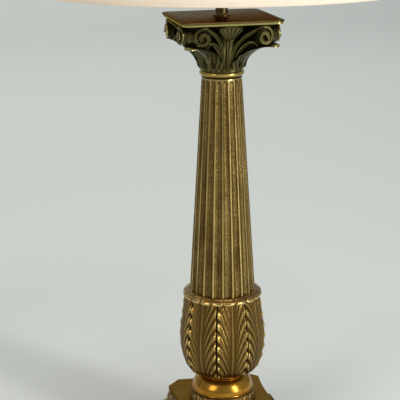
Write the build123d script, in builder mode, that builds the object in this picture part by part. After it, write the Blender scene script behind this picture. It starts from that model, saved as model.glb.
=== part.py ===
from build123d import *
import math
import os

# Column table lamp: a cast brass column on a square plinth, with a scrolled
# capital, a leaf vase under the fluted shaft, and a cone shade on a wire harp.
# Origin: centre of the felt under the plinth. +Z is up and -Y is the front.

os.makedirs("parts", exist_ok=True)

# Clearances
rod_clearance = 0.3       # radial, round the threaded rod where it passes through a casting
thread_clearance = 0.05   # radial, between a male and a female thread drawn plain
nest_clearance = 0.1      # between pieces that nest in or stand on each other
turning_clearance = 0.05  # radial, between a turning stem and its bearing

# Plinth, from the table upwards
felt_thickness = 2.0
felt_margin = 1.5
block_half = 76.0
block_height = 22.0
block_wall = 5.0
block_roof = 5.0
block_corner = 3.0
block_edge = 2.0
step_height = 3.0
step_half = 73.5
moulding_height = 25.0
moulding_foot_half = 72.0
moulding_top_half = 53.5
moulding_wall = 6.0
moulding_groove_pitch = 13.0
moulding_groove_width = 1.6
moulding_groove_depth = 1.4
plate_half = 55.2
plate_thickness = 5.0
plate_clip = 14.8
plate_sag = 3.0
plate_edge = 1.0

# Inside the plinth
weight_radius = 62.0
weight_height = 9.0
washer_radius = 12.0
washer_thickness = 1.6
nut_flats = 15.0
nut_height = 4.6
rod_radius = 4.8
rod_bore = 3.2
rod_tail = 0.8
inlet_height = 11.0
bushing_radius = 5.2
bushing_bore = 3.2
bushing_flange_radius = 7.0
bushing_flange = 2.0
bushing_tail = 3.0

# Pedestal
foot_radius = 38.0
foot_top_radius = 35.8
foot_height = 12.0
foot_bore = 28.0
gadroon_count = 28
gadroon_radius = 1.5
bead_radius = 35.4
bead_height = 1.8
dome_height = 17.2
dome_top_radius = 22.5
dome_wall = 4.0
ring_radius = 25.6
ring_height = 3.8

# Leaf vase
vase_height = 91.0
vase_heel_radius = 27.0
vase_bowl_radius = 38.3
vase_bowl_height = 3.4
vase_flank_radius = 45.4
vase_flank_height = 18.6
vase_belly_radius = 48.0
vase_belly_height = 40.0
vase_shoulder_radius = 45.2
vase_shoulder_height = 64.0
vase_top_radius = 41.8
vase_wall = 5.0
leaf_count = 8
leaf_parting_width = 1.8
leaf_parting_depth = 1.6
leaf_rib_width = 2.4
leaf_rib_proud = 0.7

# Leaf collar
collar_height = 5.0
collar_root_radius = 41.6
collar_flare = 20.0
collar_scallop = 1.5
collar_lip = 1.6
collar_dish = 2.4

# Fluted shaft
shaft_foot_radius = 36.6
shaft_top_radius = 21.6
shaft_height = 242.0
shaft_wall = 5.6
shaft_web = 9.0
flute_count = 20
flute_azimuth = 14.0
flute_foot_width = 7.7
flute_top_width = 4.6
flute_foot_depth = 2.0
flute_top_depth = 1.2
flute_margin = 5.0

# Necking ring
neck_fillet_radius = 22.6
neck_fillet_height = 2.4
neck_radius = 24.2
neck_ring_height = 5.1

# Capital
bell_height = 52.8
bell_root_radius = 22.6
bell_lip_radius = 42.0
bell_lip_height = 2.6
bell_bore = 14.0
corner_reach = 68.0
corner_root_radius = 26.0
corner_root_height = 3.5
corner_leaf_rise = 26.0
corner_leaf_thickness = 3.4
corner_leaf_half_width = 12.0
corner_leaf_tip_half_width = 3.0
corner_rib_width = 3.0
corner_rib_proud = 1.2
corner_web_half_width = 6.0
scroll_reach = 60.0
scroll_offset = 14.2
scroll_turn = 34.0
scroll_height = 40.7
scroll_radius = 10.6
scroll_shrink = 0.84
scroll_quarters = 6
scroll_band = 2.8
scroll_thickness = 9.0
scroll_relief = 1.6
roll_reach = 64.8
roll_radius = 8.6
roll_half_width = 7.0
roll_waist = 1.2
stalk_width = 3.8
stalk_depth = 5.0
stalk_overlap = 2.0
stalk_lift = 0.6
stalk_sink = 0.3
stalk_points = ((5.5, -22.5, 5.0), (8.0, -29.0, 26.5), (16.5, -41.5, 38.0))
fan_root_height = 33.0
fan_root_radius = 30.0
fan_tip_radius = 42.5
fan_petals = 5
fan_petal_length = 15.0
fan_petal_width = 5.0
fan_spread = 116.0
fan_thickness = 2.6
tie_width = 9.5
tie_height = 2.8
tie_proud = 2.2

# Abacus
abacus_half = 54.5
abacus_band_half = 53.2
abacus_height = 4.2
abacus_lip_height = 1.9
abacus_corner = 4.0
abacus_edge = 0.8

# Neck between the abacus and the socket
riser_foot_radius = 9.0
riser_foot_height = 3.0
riser_radius = 6.6
riser_height = 30.0
riser_collar_radius = 8.6
riser_collar_height = 4.0

# Harp and its saddle
saddle_thickness = 1.6
saddle_width = 11.0
saddle_boss_radius = 12.0
arm_inner_reach = 26.6
arm_thickness = 1.2
shoulder_height = 7.0
tongue_width = 4.4
tongue_height = 18.7
harp_rise = 279.0
harp_wire_radius = 1.75
harp_leg_foot = 9.0
harp_leg_top = 47.5
harp_bow_reach = 58.0
harp_bow_low = 108.0
harp_bow_high = 176.0
harp_crown_reach = 13.0
harp_leg_bend = 30.0
harp_low_bend = 60.0
harp_high_bend = 80.0
harp_crown_bend = 12.0
seat_radius = 10.0
seat_thickness = 3.0
stud_radius = 3.1
stud_height = 12.0
sleeve_bore = 3.4
sleeve_radius = 4.2
sleeve_height = 14.0

# Socket
cap_height = 20.0
cap_wall = 1.0
cap_hub_radius = 7.5
cap_hub_height = 8.0
cap_rim_radius = 17.9
cap_rim_height = 6.0
shell_radius = 16.7
shell_wall = 0.6
shell_foot = 15.0
shell_top = 57.0
shell_lip = 1.0
liner_wall = 0.8
insulator_radius = 14.6
insulator_seat = 0.4
insulator_top = 30.0
sleeve_wall = 0.5
screw_bore = 13.6
screw_top = 54.5
contact_radius = 4.5
contact_height = 1.5
stem_height = 25.0
stem_radius = 2.2
stem_root = 5.0
knob_start = 21.0
knob_length = 11.0
knob_radius = 6.2
knob_groove_radius = 0.9
knob_grooves = 12
knob_edge = 0.8

# Bulb
bulb_gap = 0.3
bulb_tip_radius = 4.6
bulb_tip_height = 1.2
bulb_cone_radius = 9.0
bulb_cone_height = 4.0
bulb_screw_radius = 13.1
bulb_screw_start = 6.5
bulb_base_height = 26.0
bulb_neck_radius = 14.2
bulb_neck_height = 6.0
bulb_globe_radius = 30.0
bulb_height = 107.0
bulb_wall = 1.0

# Shade
shade_foot_radius = 216.0
shade_top_radius = 180.0
shade_height = 292.0
shade_drop = 16.0
shade_wall = 1.2
hem_height = 8.0
hem_wall = 0.7
hoop_radius = 1.8
spider_ring_radius = 14.0
spider_ring_thickness = 1.4
spider_arm_radius = 1.6
spider_arms = 3
spider_bend_reach = 150.0
spider_bend_radius = 30.0

# Finial
insert_radius = 4.6
insert_height = 9.0
finial_foot_radius = 7.6
finial_foot_height = 3.0
finial_bore_height = 12.6
finial_barrel_radius = 6.2
finial_neck_radius = 3.4
finial_neck_height = 16.5
finial_ball_radius = 7.4
finial_button_radius = 2.4
finial_button_height = 2.0

# Heights above the table
z_block = felt_thickness
z_step = z_block + block_height
z_moulding = z_step + step_height
z_plate = z_moulding + moulding_height
z_foot = z_plate + plate_thickness
z_dome = z_foot + foot_height
z_ring = z_dome + bead_height + dome_height
z_vase = z_ring + ring_height
z_collar = z_vase + vase_height
z_shaft = z_collar + collar_height
z_neck = z_shaft + shaft_height
z_bell = z_neck + neck_fillet_height + neck_ring_height
z_abacus = z_bell + bell_height
z_riser = z_abacus + abacus_height
z_saddle = z_riser + riser_height
z_cap = z_saddle + saddle_thickness
z_seat = z_saddle + harp_rise
z_shade_top = z_seat + shade_drop
z_shade_foot = z_shade_top - shade_height
rod_hole = rod_radius + rod_clearance
thread_bore = rod_radius + thread_clearance
front = -90.0


def polar(radius, azimuth):
    """A point on the table at a radius and an azimuth in degrees."""
    angle = math.radians(azimuth)
    return Vector(radius * math.cos(angle), radius * math.sin(angle), 0)


def radial_plane(azimuth):
    """The upright plane through the axis whose X runs outwards at an azimuth and whose Y is up."""
    outwards = polar(1, azimuth)
    return Plane(origin=(0, 0, 0), x_dir=outwards, z_dir=outwards.cross(Vector(0, 0, 1)))


# Felt under the plinth
with BuildPart() as felt_pad:
    with BuildSketch():
        RectangleRounded(2 * (block_half - felt_margin), 2 * (block_half - felt_margin), block_corner)
    extrude(amount=felt_thickness)
felt_pad.part.label = "felt_pad"
export_step(felt_pad.part, "parts/felt_pad.step")

# Square block: a hollow casting with a step on top and the cord's hole at the back
with BuildPart() as base_block:
    with BuildSketch(Plane.XY.offset(z_block)):
        RectangleRounded(2 * block_half, 2 * block_half, block_corner)
    extrude(amount=block_height)
    fillet(base_block.faces().sort_by(Axis.Z)[-1].edges(), radius=block_edge)
    with BuildSketch(Plane.XY.offset(z_step)):
        RectangleRounded(2 * step_half, 2 * step_half, block_corner)
    extrude(amount=step_height)
    with BuildSketch(Plane.XY.offset(z_block)):
        RectangleRounded(2 * (block_half - block_wall), 2 * (block_half - block_wall), block_corner)
    extrude(amount=block_height - block_roof, mode=Mode.SUBTRACT)
    with BuildSketch(Plane.XY.offset(z_block)):
        Circle(rod_hole)
    extrude(amount=block_height + step_height, mode=Mode.SUBTRACT)
    with BuildSketch(Plane.XZ.offset(-block_half)):
        with Locations((0, z_block + inlet_height)):
            Circle(bushing_radius + nest_clearance)
    extrude(amount=block_wall, mode=Mode.SUBTRACT)
base_block.part.label = "base_block"
export_step(base_block.part, "parts/base_block.step")

# Bushing that lines the cord's hole
with BuildPart() as cord_bushing:
    with BuildSketch(Plane.XZ.offset(-block_half - nest_clearance)):
        with Locations((0, z_block + inlet_height)):
            Circle(bushing_flange_radius)
    extrude(amount=-bushing_flange)
    with BuildSketch(Plane.XZ.offset(-block_half - nest_clearance)):
        with Locations((0, z_block + inlet_height)):
            Circle(bushing_radius)
    extrude(amount=block_wall + bushing_tail)
    with BuildSketch(Plane.XZ.offset(-block_half - nest_clearance - bushing_flange)):
        with Locations((0, z_block + inlet_height)):
            Circle(bushing_bore)
    extrude(amount=bushing_flange + block_wall + bushing_tail, mode=Mode.SUBTRACT)
cord_bushing.part.label = "cord_bushing"
export_step(cord_bushing.part, "parts/cord_bushing.step")

# Iron disc that weighs the plinth down, against the block's roof
z_weight = z_step - block_roof - weight_height
with BuildPart() as base_weight:
    with BuildSketch(Plane.XY.offset(z_weight)):
        Circle(weight_radius)
        Circle(rod_hole, mode=Mode.SUBTRACT)
    extrude(amount=weight_height)
base_weight.part.label = "base_weight"
export_step(base_weight.part, "parts/base_weight.step")

# Washer and nut that draw the whole column down on the rod
z_washer = z_weight - washer_thickness
with BuildPart() as lock_washer:
    with BuildSketch(Plane.XY.offset(z_washer)):
        Circle(washer_radius)
        Circle(rod_hole, mode=Mode.SUBTRACT)
    extrude(amount=washer_thickness)
lock_washer.part.label = "lock_washer"
export_step(lock_washer.part, "parts/lock_washer.step")

z_nut = z_washer - nut_height
with BuildPart() as rod_nut:
    with BuildSketch(Plane.XY.offset(z_nut)):
        RegularPolygon(nut_flats / 2, 6, major_radius=False)
        Circle(thread_bore, mode=Mode.SUBTRACT)
    extrude(amount=nut_height)
rod_nut.part.label = "rod_nut"
export_step(rod_nut.part, "parts/rod_nut.step")

# Threaded pipe through the column, from the nut to the socket's hub
z_rod = z_nut - rod_tail
with BuildPart() as threaded_rod:
    with BuildSketch(Plane.XY.offset(z_rod)):
        Circle(rod_radius)
        Circle(rod_bore, mode=Mode.SUBTRACT)
    extrude(amount=z_cap + cap_hub_height - z_rod)
threaded_rod.part.label = "threaded_rod"
export_step(threaded_rod.part, "parts/threaded_rod.step")


def moulding_flank(depth):
    """The moulding's flank, drawn in by a depth: it swells under the plate and hollows above the step."""
    top = (moulding_top_half - depth, z_plate)
    foot = (moulding_foot_half - depth, z_moulding)
    middle = ((top[0] + foot[0]) / 2, (top[1] + foot[1]) / 2)
    swell = TangentArc(top, middle, tangent=(1, 0))
    TangentArc(middle, foot, tangent=swell % 1)
    return top, foot


def moulding_section(plane):
    """The moulding's full section, as wide as the plinth, on an upright plane."""
    with BuildSketch(plane) as section:
        with BuildLine():
            top, foot = moulding_flank(0)
            Polyline(foot, (0, z_moulding), (0, z_plate), top)
        make_face()
        mirror(about=Plane.YZ)
    return section.sketch


# Leaf moulding between the block and the plate, mitred at its corners
with BuildPart() as base_moulding:
    extrude(moulding_section(Plane.XZ), amount=block_half, both=True)
    extrude(moulding_section(Plane.YZ), amount=block_half, both=True, mode=Mode.INTERSECT)
    with BuildSketch(Plane.XY.offset(z_moulding)):
        Rectangle(2 * (moulding_top_half - moulding_wall), 2 * (moulding_top_half - moulding_wall))
    extrude(amount=moulding_height, mode=Mode.SUBTRACT)
    groove_steps = int((moulding_top_half - moulding_wall) // moulding_groove_pitch)
    for side in range(4):
        for step in range(-groove_steps, groove_steps + 1):
            along = polar(step * moulding_groove_pitch, 90 * side + 90)
            with BuildSketch(Plane(along, polar(1, 90 * side), polar(1, 90 * side - 90))):
                with BuildLine():
                    top, foot = moulding_flank(moulding_groove_depth)
                    Polyline(top, (block_half, z_plate), (block_half, z_moulding), foot)
                make_face()
            extrude(amount=moulding_groove_width / 2, both=True, mode=Mode.SUBTRACT)
base_moulding.part.label = "base_moulding"
export_step(base_moulding.part, "parts/base_moulding.step")

# Plate on the plinth, with clipped corners and hollowed sides
with BuildPart() as plinth_plate:
    with BuildSketch(Plane.XY.offset(z_plate)):
        with BuildLine():
            side_end = plate_half - plate_clip
            for side in range(4):
                turned = 90 * side
                start = Vector(-side_end, -plate_half, 0).rotate(Axis.Z, turned)
                middle = Vector(0, plate_sag - plate_half, 0).rotate(Axis.Z, turned)
                end = Vector(side_end, -plate_half, 0).rotate(Axis.Z, turned)
                clip = Vector(plate_half, -side_end, 0).rotate(Axis.Z, turned)
                ThreePointArc(start, middle, end)
                Line(end, clip)
        make_face()
    extrude(amount=plate_thickness)
    fillet(plinth_plate.faces().sort_by(Axis.Z)[-1].edges(), radius=plate_edge)
    with BuildSketch(Plane.XY.offset(z_plate)):
        Circle(rod_hole)
    extrude(amount=plate_thickness, mode=Mode.SUBTRACT)
plinth_plate.part.label = "plinth_plate"
export_step(plinth_plate.part, "parts/plinth_plate.step")

# Ribbed foot of the pedestal
with BuildPart() as pedestal_foot:
    with Locations((0, 0, z_foot)):
        Cone(foot_radius, foot_top_radius, foot_height, align=(Align.CENTER, Align.CENTER, Align.MIN))
        Cylinder(foot_bore, foot_height, align=(Align.CENTER, Align.CENTER, Align.MIN), mode=Mode.SUBTRACT)
    rib_lean = Vector(foot_top_radius - foot_radius, 0, foot_height)
    rib_plane = Plane(origin=(foot_radius, 0, z_foot), x_dir=(0, 1, 0), z_dir=rib_lean)
    with PolarLocations(0, gadroon_count):
        with Locations(rib_plane):
            Cylinder(gadroon_radius, 3 * foot_height, mode=Mode.SUBTRACT)
pedestal_foot.part.label = "pedestal_foot"
export_step(pedestal_foot.part, "parts/pedestal_foot.step")

# Polished dome with a bead round its foot
with BuildPart() as pedestal_dome:
    with BuildSketch(Plane.XZ):
        with BuildLine():
            bead_foot = (bead_radius - bead_height / 2, z_dome)
            bead_top = (bead_radius - bead_height / 2, z_dome + bead_height)
            dome_top = (dome_top_radius, z_ring)
            ThreePointArc(bead_foot, (bead_radius, z_dome + bead_height / 2), bead_top)
            TangentArc(bead_top, dome_top, tangent=(0, 1))
            Polyline(
                dome_top,
                (rod_hole, z_ring),
                (rod_hole, z_ring - dome_wall),
                (dome_top_radius - dome_wall, z_ring - dome_wall),
                (foot_bore, z_dome),
                bead_foot,
            )
        make_face()
    revolve(axis=Axis.Z)
pedestal_dome.part.label = "pedestal_dome"
export_step(pedestal_dome.part, "parts/pedestal_dome.step")

# Thin ring between the dome and the vase
with BuildPart() as vase_ring:
    with BuildSketch(Plane.XZ):
        with BuildLine():
            ring_foot = (ring_radius - ring_height / 2, z_ring)
            ring_top = (ring_radius - ring_height / 2, z_vase)
            ThreePointArc(ring_foot, (ring_radius, z_ring + ring_height / 2), ring_top)
            Polyline(ring_top, (rod_hole, z_vase), (rod_hole, z_ring), ring_foot)
        make_face()
    revolve(axis=Axis.Z)
vase_ring.part.label = "vase_ring"
export_step(vase_ring.part, "parts/vase_ring.step")


def vase_side(depth):
    """The vase's outer side from heel to top, drawn inwards by a depth."""
    heel = (vase_heel_radius - depth, z_vase)
    bowl = (vase_bowl_radius - depth, z_vase + vase_bowl_height)
    flank = (vase_flank_radius - depth, z_vase + vase_flank_height)
    belly = (vase_belly_radius - depth, z_vase + vase_belly_height)
    shoulder = (vase_shoulder_radius - depth, z_vase + vase_shoulder_height)
    top = (vase_top_radius - depth, z_collar)
    Spline(heel, bowl, flank, belly, tangents=[(1, 0.1), (0, 1)])
    Spline(belly, shoulder, top, tangents=[(0, 1), (-0.1, 1)])
    return heel, top


# Leaf vase: a hollow casting with leaves parted by grooves, each with a rib up its middle
with BuildPart() as leaf_vase:
    with BuildSketch(Plane.XZ):
        with BuildLine():
            heel, top = vase_side(0)
            Polyline(top, (rod_hole, z_collar), (rod_hole, z_vase), heel)
        make_face()
    revolve(axis=Axis.Z)
    for leaf in range(leaf_count):
        with BuildSketch(radial_plane(front + leaf * 360 / leaf_count)):
            with BuildLine():
                heel, top = vase_side(-leaf_rib_proud)
                inner_top = (vase_top_radius - vase_wall, z_collar)
                inner_heel = (vase_heel_radius - vase_wall, z_vase)
                Polyline(top, inner_top, inner_heel, heel)
            make_face()
        extrude(amount=leaf_rib_width / 2, both=True)
        with BuildSketch(radial_plane(front + (leaf + 0.5) * 360 / leaf_count)):
            with BuildLine():
                heel, top = vase_side(leaf_parting_depth)
                Polyline(top, (block_half, z_collar), (block_half, z_vase), heel)
            make_face()
        extrude(amount=leaf_parting_width / 2, both=True, mode=Mode.SUBTRACT)
    with BuildSketch(Plane.XZ):
        with BuildLine():
            cavity_foot = z_vase + vase_wall
            cavity_top = (vase_top_radius - vase_wall, z_collar)
            cavity_belly = (vase_belly_radius - vase_wall, z_vase + vase_belly_height)
            cavity_heel = (vase_heel_radius - vase_wall, cavity_foot)
            Polyline(cavity_top, (0, z_collar), (0, cavity_foot), cavity_heel, cavity_belly, cavity_top)
        make_face()
    revolve(axis=Axis.Z, mode=Mode.SUBTRACT)
leaf_vase.part.label = "leaf_vase"
export_step(leaf_vase.part, "parts/leaf_vase.step")

# Scalloped collar round the shaft's foot, dished behind its lip
with BuildPart() as leaf_collar:
    flute_pitch = 360 / flute_count
    with BuildSketch(Plane.XY.offset(z_collar)):
        with BuildLine():
            for scallop in range(flute_count):
                middle = front + flute_azimuth + scallop * flute_pitch
                ThreePointArc(
                    polar(collar_root_radius, middle - flute_pitch / 2),
                    polar(collar_root_radius + collar_scallop, middle),
                    polar(collar_root_radius, middle + flute_pitch / 2),
                )
        make_face()
    extrude(amount=collar_height, taper=-collar_flare)
    with BuildSketch(Plane.XY.offset(z_collar + collar_height - collar_dish)):
        Circle(collar_root_radius - collar_lip)
    extrude(amount=collar_dish, taper=-collar_flare, mode=Mode.SUBTRACT)
    with BuildSketch(Plane.XY.offset(z_collar)):
        Circle(shaft_foot_radius - shaft_wall)
    extrude(amount=collar_height, mode=Mode.SUBTRACT)
leaf_collar.part.label = "leaf_collar"
export_step(leaf_collar.part, "parts/leaf_collar.step")

# Fluted shaft: a tapering tube that stands in the collar's dish, its flutes closed by round tops
z_shaft_foot = z_shaft - collar_dish
shaft_length = z_neck - z_shaft_foot


def flute_cutter(width, depth):
    """The radius of the round cutter whose hollow has this width and depth."""
    return (width * width / 4 + depth * depth) / (2 * depth)


with BuildPart() as fluted_shaft:
    foot_cutter = flute_cutter(flute_foot_width, flute_foot_depth)
    top_cutter = flute_cutter(flute_top_width, flute_top_depth)
    with Locations((0, 0, z_shaft_foot)):
        Cone(
            shaft_foot_radius,
            shaft_top_radius,
            shaft_length,
            align=(Align.CENTER, Align.CENTER, Align.MIN),
        )
    cutter_foot = Vector(shaft_foot_radius - flute_foot_depth + foot_cutter, 0, z_shaft_foot)
    cutter_top = Vector(
        shaft_top_radius - flute_top_depth + top_cutter,
        0,
        z_neck - flute_margin - top_cutter,
    )
    cutter_run = cutter_top - cutter_foot
    with PolarLocations(0, flute_count, start_angle=front + flute_azimuth):
        with Locations(Plane(origin=cutter_foot, x_dir=(0, 1, 0), z_dir=cutter_run)):
            Cone(
                foot_cutter,
                top_cutter,
                cutter_run.length,
                align=(Align.CENTER, Align.CENTER, Align.MIN),
                mode=Mode.SUBTRACT,
            )
        with Locations(cutter_top):
            Sphere(top_cutter, mode=Mode.SUBTRACT)
    with Locations((0, 0, z_shaft_foot)):
        Cone(
            shaft_foot_radius - shaft_wall,
            shaft_top_radius - shaft_wall,
            shaft_length - shaft_web,
            align=(Align.CENTER, Align.CENTER, Align.MIN),
            mode=Mode.SUBTRACT,
        )
        Cylinder(rod_hole, shaft_length, align=(Align.CENTER, Align.CENTER, Align.MIN), mode=Mode.SUBTRACT)
fluted_shaft.part.label = "fluted_shaft"
export_step(fluted_shaft.part, "parts/fluted_shaft.step")

# Necking ring: a round bead on a small hollow fillet
with BuildPart() as necking_ring:
    with BuildSketch(Plane.XZ):
        with BuildLine():
            fillet_foot = (shaft_top_radius, z_neck)
            fillet_top = (neck_fillet_radius, z_neck + neck_fillet_height)
            bead_top = (bell_root_radius, z_bell)
            TangentArc(fillet_foot, fillet_top, tangent=(0, 1))
            ThreePointArc(fillet_top, (neck_radius, (fillet_top[1] + z_bell) / 2), bead_top)
            Polyline(bead_top, (rod_hole, z_bell), (rod_hole, z_neck), fillet_foot)
        make_face()
    revolve(axis=Axis.Z)
necking_ring.part.label = "necking_ring"
export_step(necking_ring.part, "parts/necking_ring.step")

# Capital: the leaf and roll of one corner, the scrolls and fan of one side, then the whole casting
z_leaf_root = z_bell + corner_root_height
z_scroll = z_bell + scroll_height
roll_centre = roll_reach - roll_radius
corner_span = corner_reach - corner_root_radius


def leaf_arc(depth):
    """The corner leaf's long curve in the corner's upright plane, drawn in by a depth."""
    EllipticalCenterArc(
        (corner_reach, z_leaf_root),
        corner_span + depth,
        corner_leaf_rise + depth,
        start_angle=90,
        arc_size=90,
    )
    tip = (corner_reach, z_leaf_root + corner_leaf_rise + depth)
    root = (corner_root_radius - depth, z_leaf_root)
    return tip, root


def scroll_edge(inset, quarters):
    """Quarter-turn arcs that wind clockwise round the eye, each one smaller, drawn in by an inset."""
    drift = scroll_radius * (1 - scroll_shrink) / (1 + scroll_shrink**2)
    centre = Vector(-drift, drift * scroll_shrink, 0)
    radius = scroll_radius
    first = centre + Vector(0, radius - inset, 0)
    for quarter in range(quarters):
        start_angle = 90 - 90 * quarter
        CenterArc(centre, radius - inset, start_angle, -90)
        outwards = polar(1, start_angle - 90)
        last = centre + outwards * (radius - inset)
        centre = centre + outwards * radius * (1 - scroll_shrink)
        radius = radius * scroll_shrink
    return first, last


with BuildPart() as corner_leaf:
    with BuildSketch(Plane.XZ):
        with BuildLine():
            tip, root = leaf_arc(0)
            upper_tip, upper_root = leaf_arc(corner_leaf_thickness)
            Line(tip, upper_tip)
            Line(root, upper_root)
        make_face()
    extrude(amount=corner_leaf_half_width, both=True)
    with BuildSketch(Plane.XY.offset(z_leaf_root)):
        with BuildLine():
            root_point = (bell_bore, corner_leaf_half_width)
            wide_point = (corner_reach - corner_span / 2, corner_leaf_half_width)
            tip_point = (corner_reach, corner_leaf_tip_half_width)
            Line((bell_bore, 0), root_point)
            Line(root_point, wide_point)
            TangentArc(wide_point, tip_point, tangent=(1, 0))
            Line(tip_point, (corner_reach, 0))
            Line((corner_reach, 0), (bell_bore, 0))
        make_face()
        mirror(about=Plane.XZ)
    extrude(amount=bell_height, mode=Mode.INTERSECT)
    with BuildSketch(Plane.XZ):
        with BuildLine():
            tip, root = leaf_arc(-corner_rib_proud)
            upper_tip, upper_root = leaf_arc(corner_leaf_thickness)
            Line(tip, upper_tip)
            Line(root, upper_root)
        make_face()
    extrude(amount=corner_rib_width / 2, both=True)

with BuildPart() as corner_roll:
    with BuildSketch(Plane.XZ):
        with BuildLine():
            upper_tip, upper_root = leaf_arc(corner_leaf_thickness / 2)
            Polyline(upper_tip, (scroll_reach, z_scroll), (scroll_reach, z_abacus - bell_lip_height))
            Polyline(
                (scroll_reach, z_abacus - bell_lip_height),
                (bell_bore, z_abacus - bell_lip_height),
                (bell_bore, z_leaf_root),
                upper_root,
            )
        make_face()
    extrude(amount=corner_web_half_width, both=True)
    with BuildSketch(Plane.XY.offset(z_scroll)):
        with BuildLine():
            near_end = (roll_reach, -roll_half_width)
            far_end = (roll_reach, roll_half_width)
            ThreePointArc(near_end, (roll_reach - roll_waist, 0), far_end)
            Polyline(far_end, (roll_centre, roll_half_width), (roll_centre, -roll_half_width), near_end)
        make_face()
    revolve(axis=Axis((roll_centre, 0, z_scroll), (0, 1, 0)))

scroll_azimuth = -45 - scroll_turn
scroll_place = polar(scroll_reach, -45) + polar(scroll_offset, -135)
scroll_plane = Plane(
    origin=scroll_place + Vector(0, 0, z_scroll),
    x_dir=polar(1, scroll_azimuth + 90),
    z_dir=polar(1, scroll_azimuth),
)
with BuildPart() as side_scrolls:
    with BuildSketch(scroll_plane):
        with BuildLine():
            first, last = scroll_edge(0, 4)
            Line(last, first)
        make_face()
    extrude(amount=-scroll_thickness)
    with BuildSketch(scroll_plane):
        with BuildLine():
            outer_first, outer_last = scroll_edge(0, scroll_quarters)
            inner_first, inner_last = scroll_edge(scroll_band, scroll_quarters)
            Line(outer_first, inner_first)
            Line(outer_last, inner_last)
        make_face()
    extrude(amount=scroll_relief)
    with BuildLine() as stalk_line:
        stalk_end = Vector(
            inner_first.X + stalk_overlap,
            inner_first.Y + stalk_lift,
            scroll_relief - stalk_sink - stalk_depth / 2,
        )
        Spline(
            *(Vector(across, out, z_bell + height) for across, out, height in stalk_points),
            scroll_plane.from_local_coords(stalk_end),
            tangents=[(0, 0, 1), scroll_plane.x_dir],
        )
    with BuildSketch(Plane(origin=stalk_line.line @ 0, x_dir=(1, 0, 0), z_dir=stalk_line.line % 0)):
        Rectangle(stalk_width, stalk_depth)
    sweep()
    mirror(about=Plane.YZ)

with BuildPart() as side_fan:
    fan_root = Vector(fan_root_radius, 0, z_bell + fan_root_height)
    fan_tip = Vector(fan_tip_radius, 0, z_abacus)
    fan_plane = Plane(origin=fan_root, x_dir=(0, 1, 0), z_dir=Vector(0, 1, 0).cross(fan_tip - fan_root))
    with BuildSketch(fan_plane):
        with PolarLocations(
            fan_petal_length / 2, fan_petals, start_angle=90 - fan_spread / 2, angular_range=fan_spread
        ):
            Ellipse(fan_petal_length / 2, fan_petal_width / 2)
    extrude(amount=fan_thickness, both=True)
    with BuildSketch(fan_plane):
        Rectangle(tie_width, tie_height)
    extrude(amount=tie_proud + fan_thickness, both=True)

with BuildPart() as capital:
    with BuildSketch(Plane.XZ):
        with BuildLine():
            bell_root = (bell_root_radius, z_bell)
            bell_lip = (bell_lip_radius, z_abacus - bell_lip_height)
            TangentArc(bell_root, bell_lip, tangent=(0, 1))
            Polyline(bell_lip, (bell_lip_radius, z_abacus), (0, z_abacus), (0, z_bell), bell_root)
        make_face()
    revolve(axis=Axis.Z)
    with PolarLocations(0, 4, start_angle=45):
        add(corner_leaf.part)
        add(corner_roll.part)
    with PolarLocations(0, 4):
        add(side_scrolls.part)
        add(side_fan.part)
    with BuildSketch(Plane.XY.offset(z_abacus)):
        Rectangle(4 * corner_reach, 4 * corner_reach)
    extrude(amount=bell_height, mode=Mode.SUBTRACT)
    with Locations((0, 0, z_bell)):
        Cylinder(
            bell_bore,
            bell_height - bell_lip_height,
            align=(Align.CENTER, Align.CENTER, Align.MIN),
            mode=Mode.SUBTRACT,
        )
        Cylinder(rod_hole, bell_height, align=(Align.CENTER, Align.CENTER, Align.MIN), mode=Mode.SUBTRACT)
capital.part.label = "capital"
export_step(capital.part, "parts/capital.step")

# Abacus: a square slab with a rounded lip over a set-back band
with BuildPart() as abacus:
    with BuildSketch(Plane.XY.offset(z_abacus)):
        RectangleRounded(2 * abacus_band_half, 2 * abacus_band_half, abacus_corner)
    extrude(amount=abacus_height - abacus_lip_height)
    with BuildSketch(Plane.XY.offset(z_riser - abacus_lip_height)):
        RectangleRounded(2 * abacus_half, 2 * abacus_half, abacus_corner)
    extrude(amount=abacus_lip_height)
    fillet(abacus.faces().sort_by(Axis.Z)[-1].edges(), radius=abacus_edge)
    with BuildSketch(Plane.XY.offset(z_abacus)):
        Circle(rod_hole)
    extrude(amount=abacus_height, mode=Mode.SUBTRACT)
abacus.part.label = "abacus"
export_step(abacus.part, "parts/abacus.step")

# Short neck that lifts the socket clear of the abacus
with BuildPart() as neck_riser:
    with BuildSketch(Plane.XZ):
        with BuildLine():
            foot_top = (riser_radius, z_riser + riser_foot_height)
            collar_foot = (riser_radius, z_saddle - riser_collar_height)
            collar_top = (riser_radius, z_saddle)
            Polyline((riser_foot_radius, z_riser), (riser_foot_radius, z_riser + riser_foot_height / 2))
            TangentArc((riser_foot_radius, z_riser + riser_foot_height / 2), foot_top, tangent=(-1, 0))
            Line(foot_top, collar_foot)
            ThreePointArc(collar_foot, (riser_collar_radius, z_saddle - riser_collar_height / 2), collar_top)
            Polyline(collar_top, (rod_hole, z_saddle), (rod_hole, z_riser), (riser_foot_radius, z_riser))
        make_face()
    revolve(axis=Axis.Z)
neck_riser.part.label = "neck_riser"
export_step(neck_riser.part, "parts/neck_riser.step")

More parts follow.
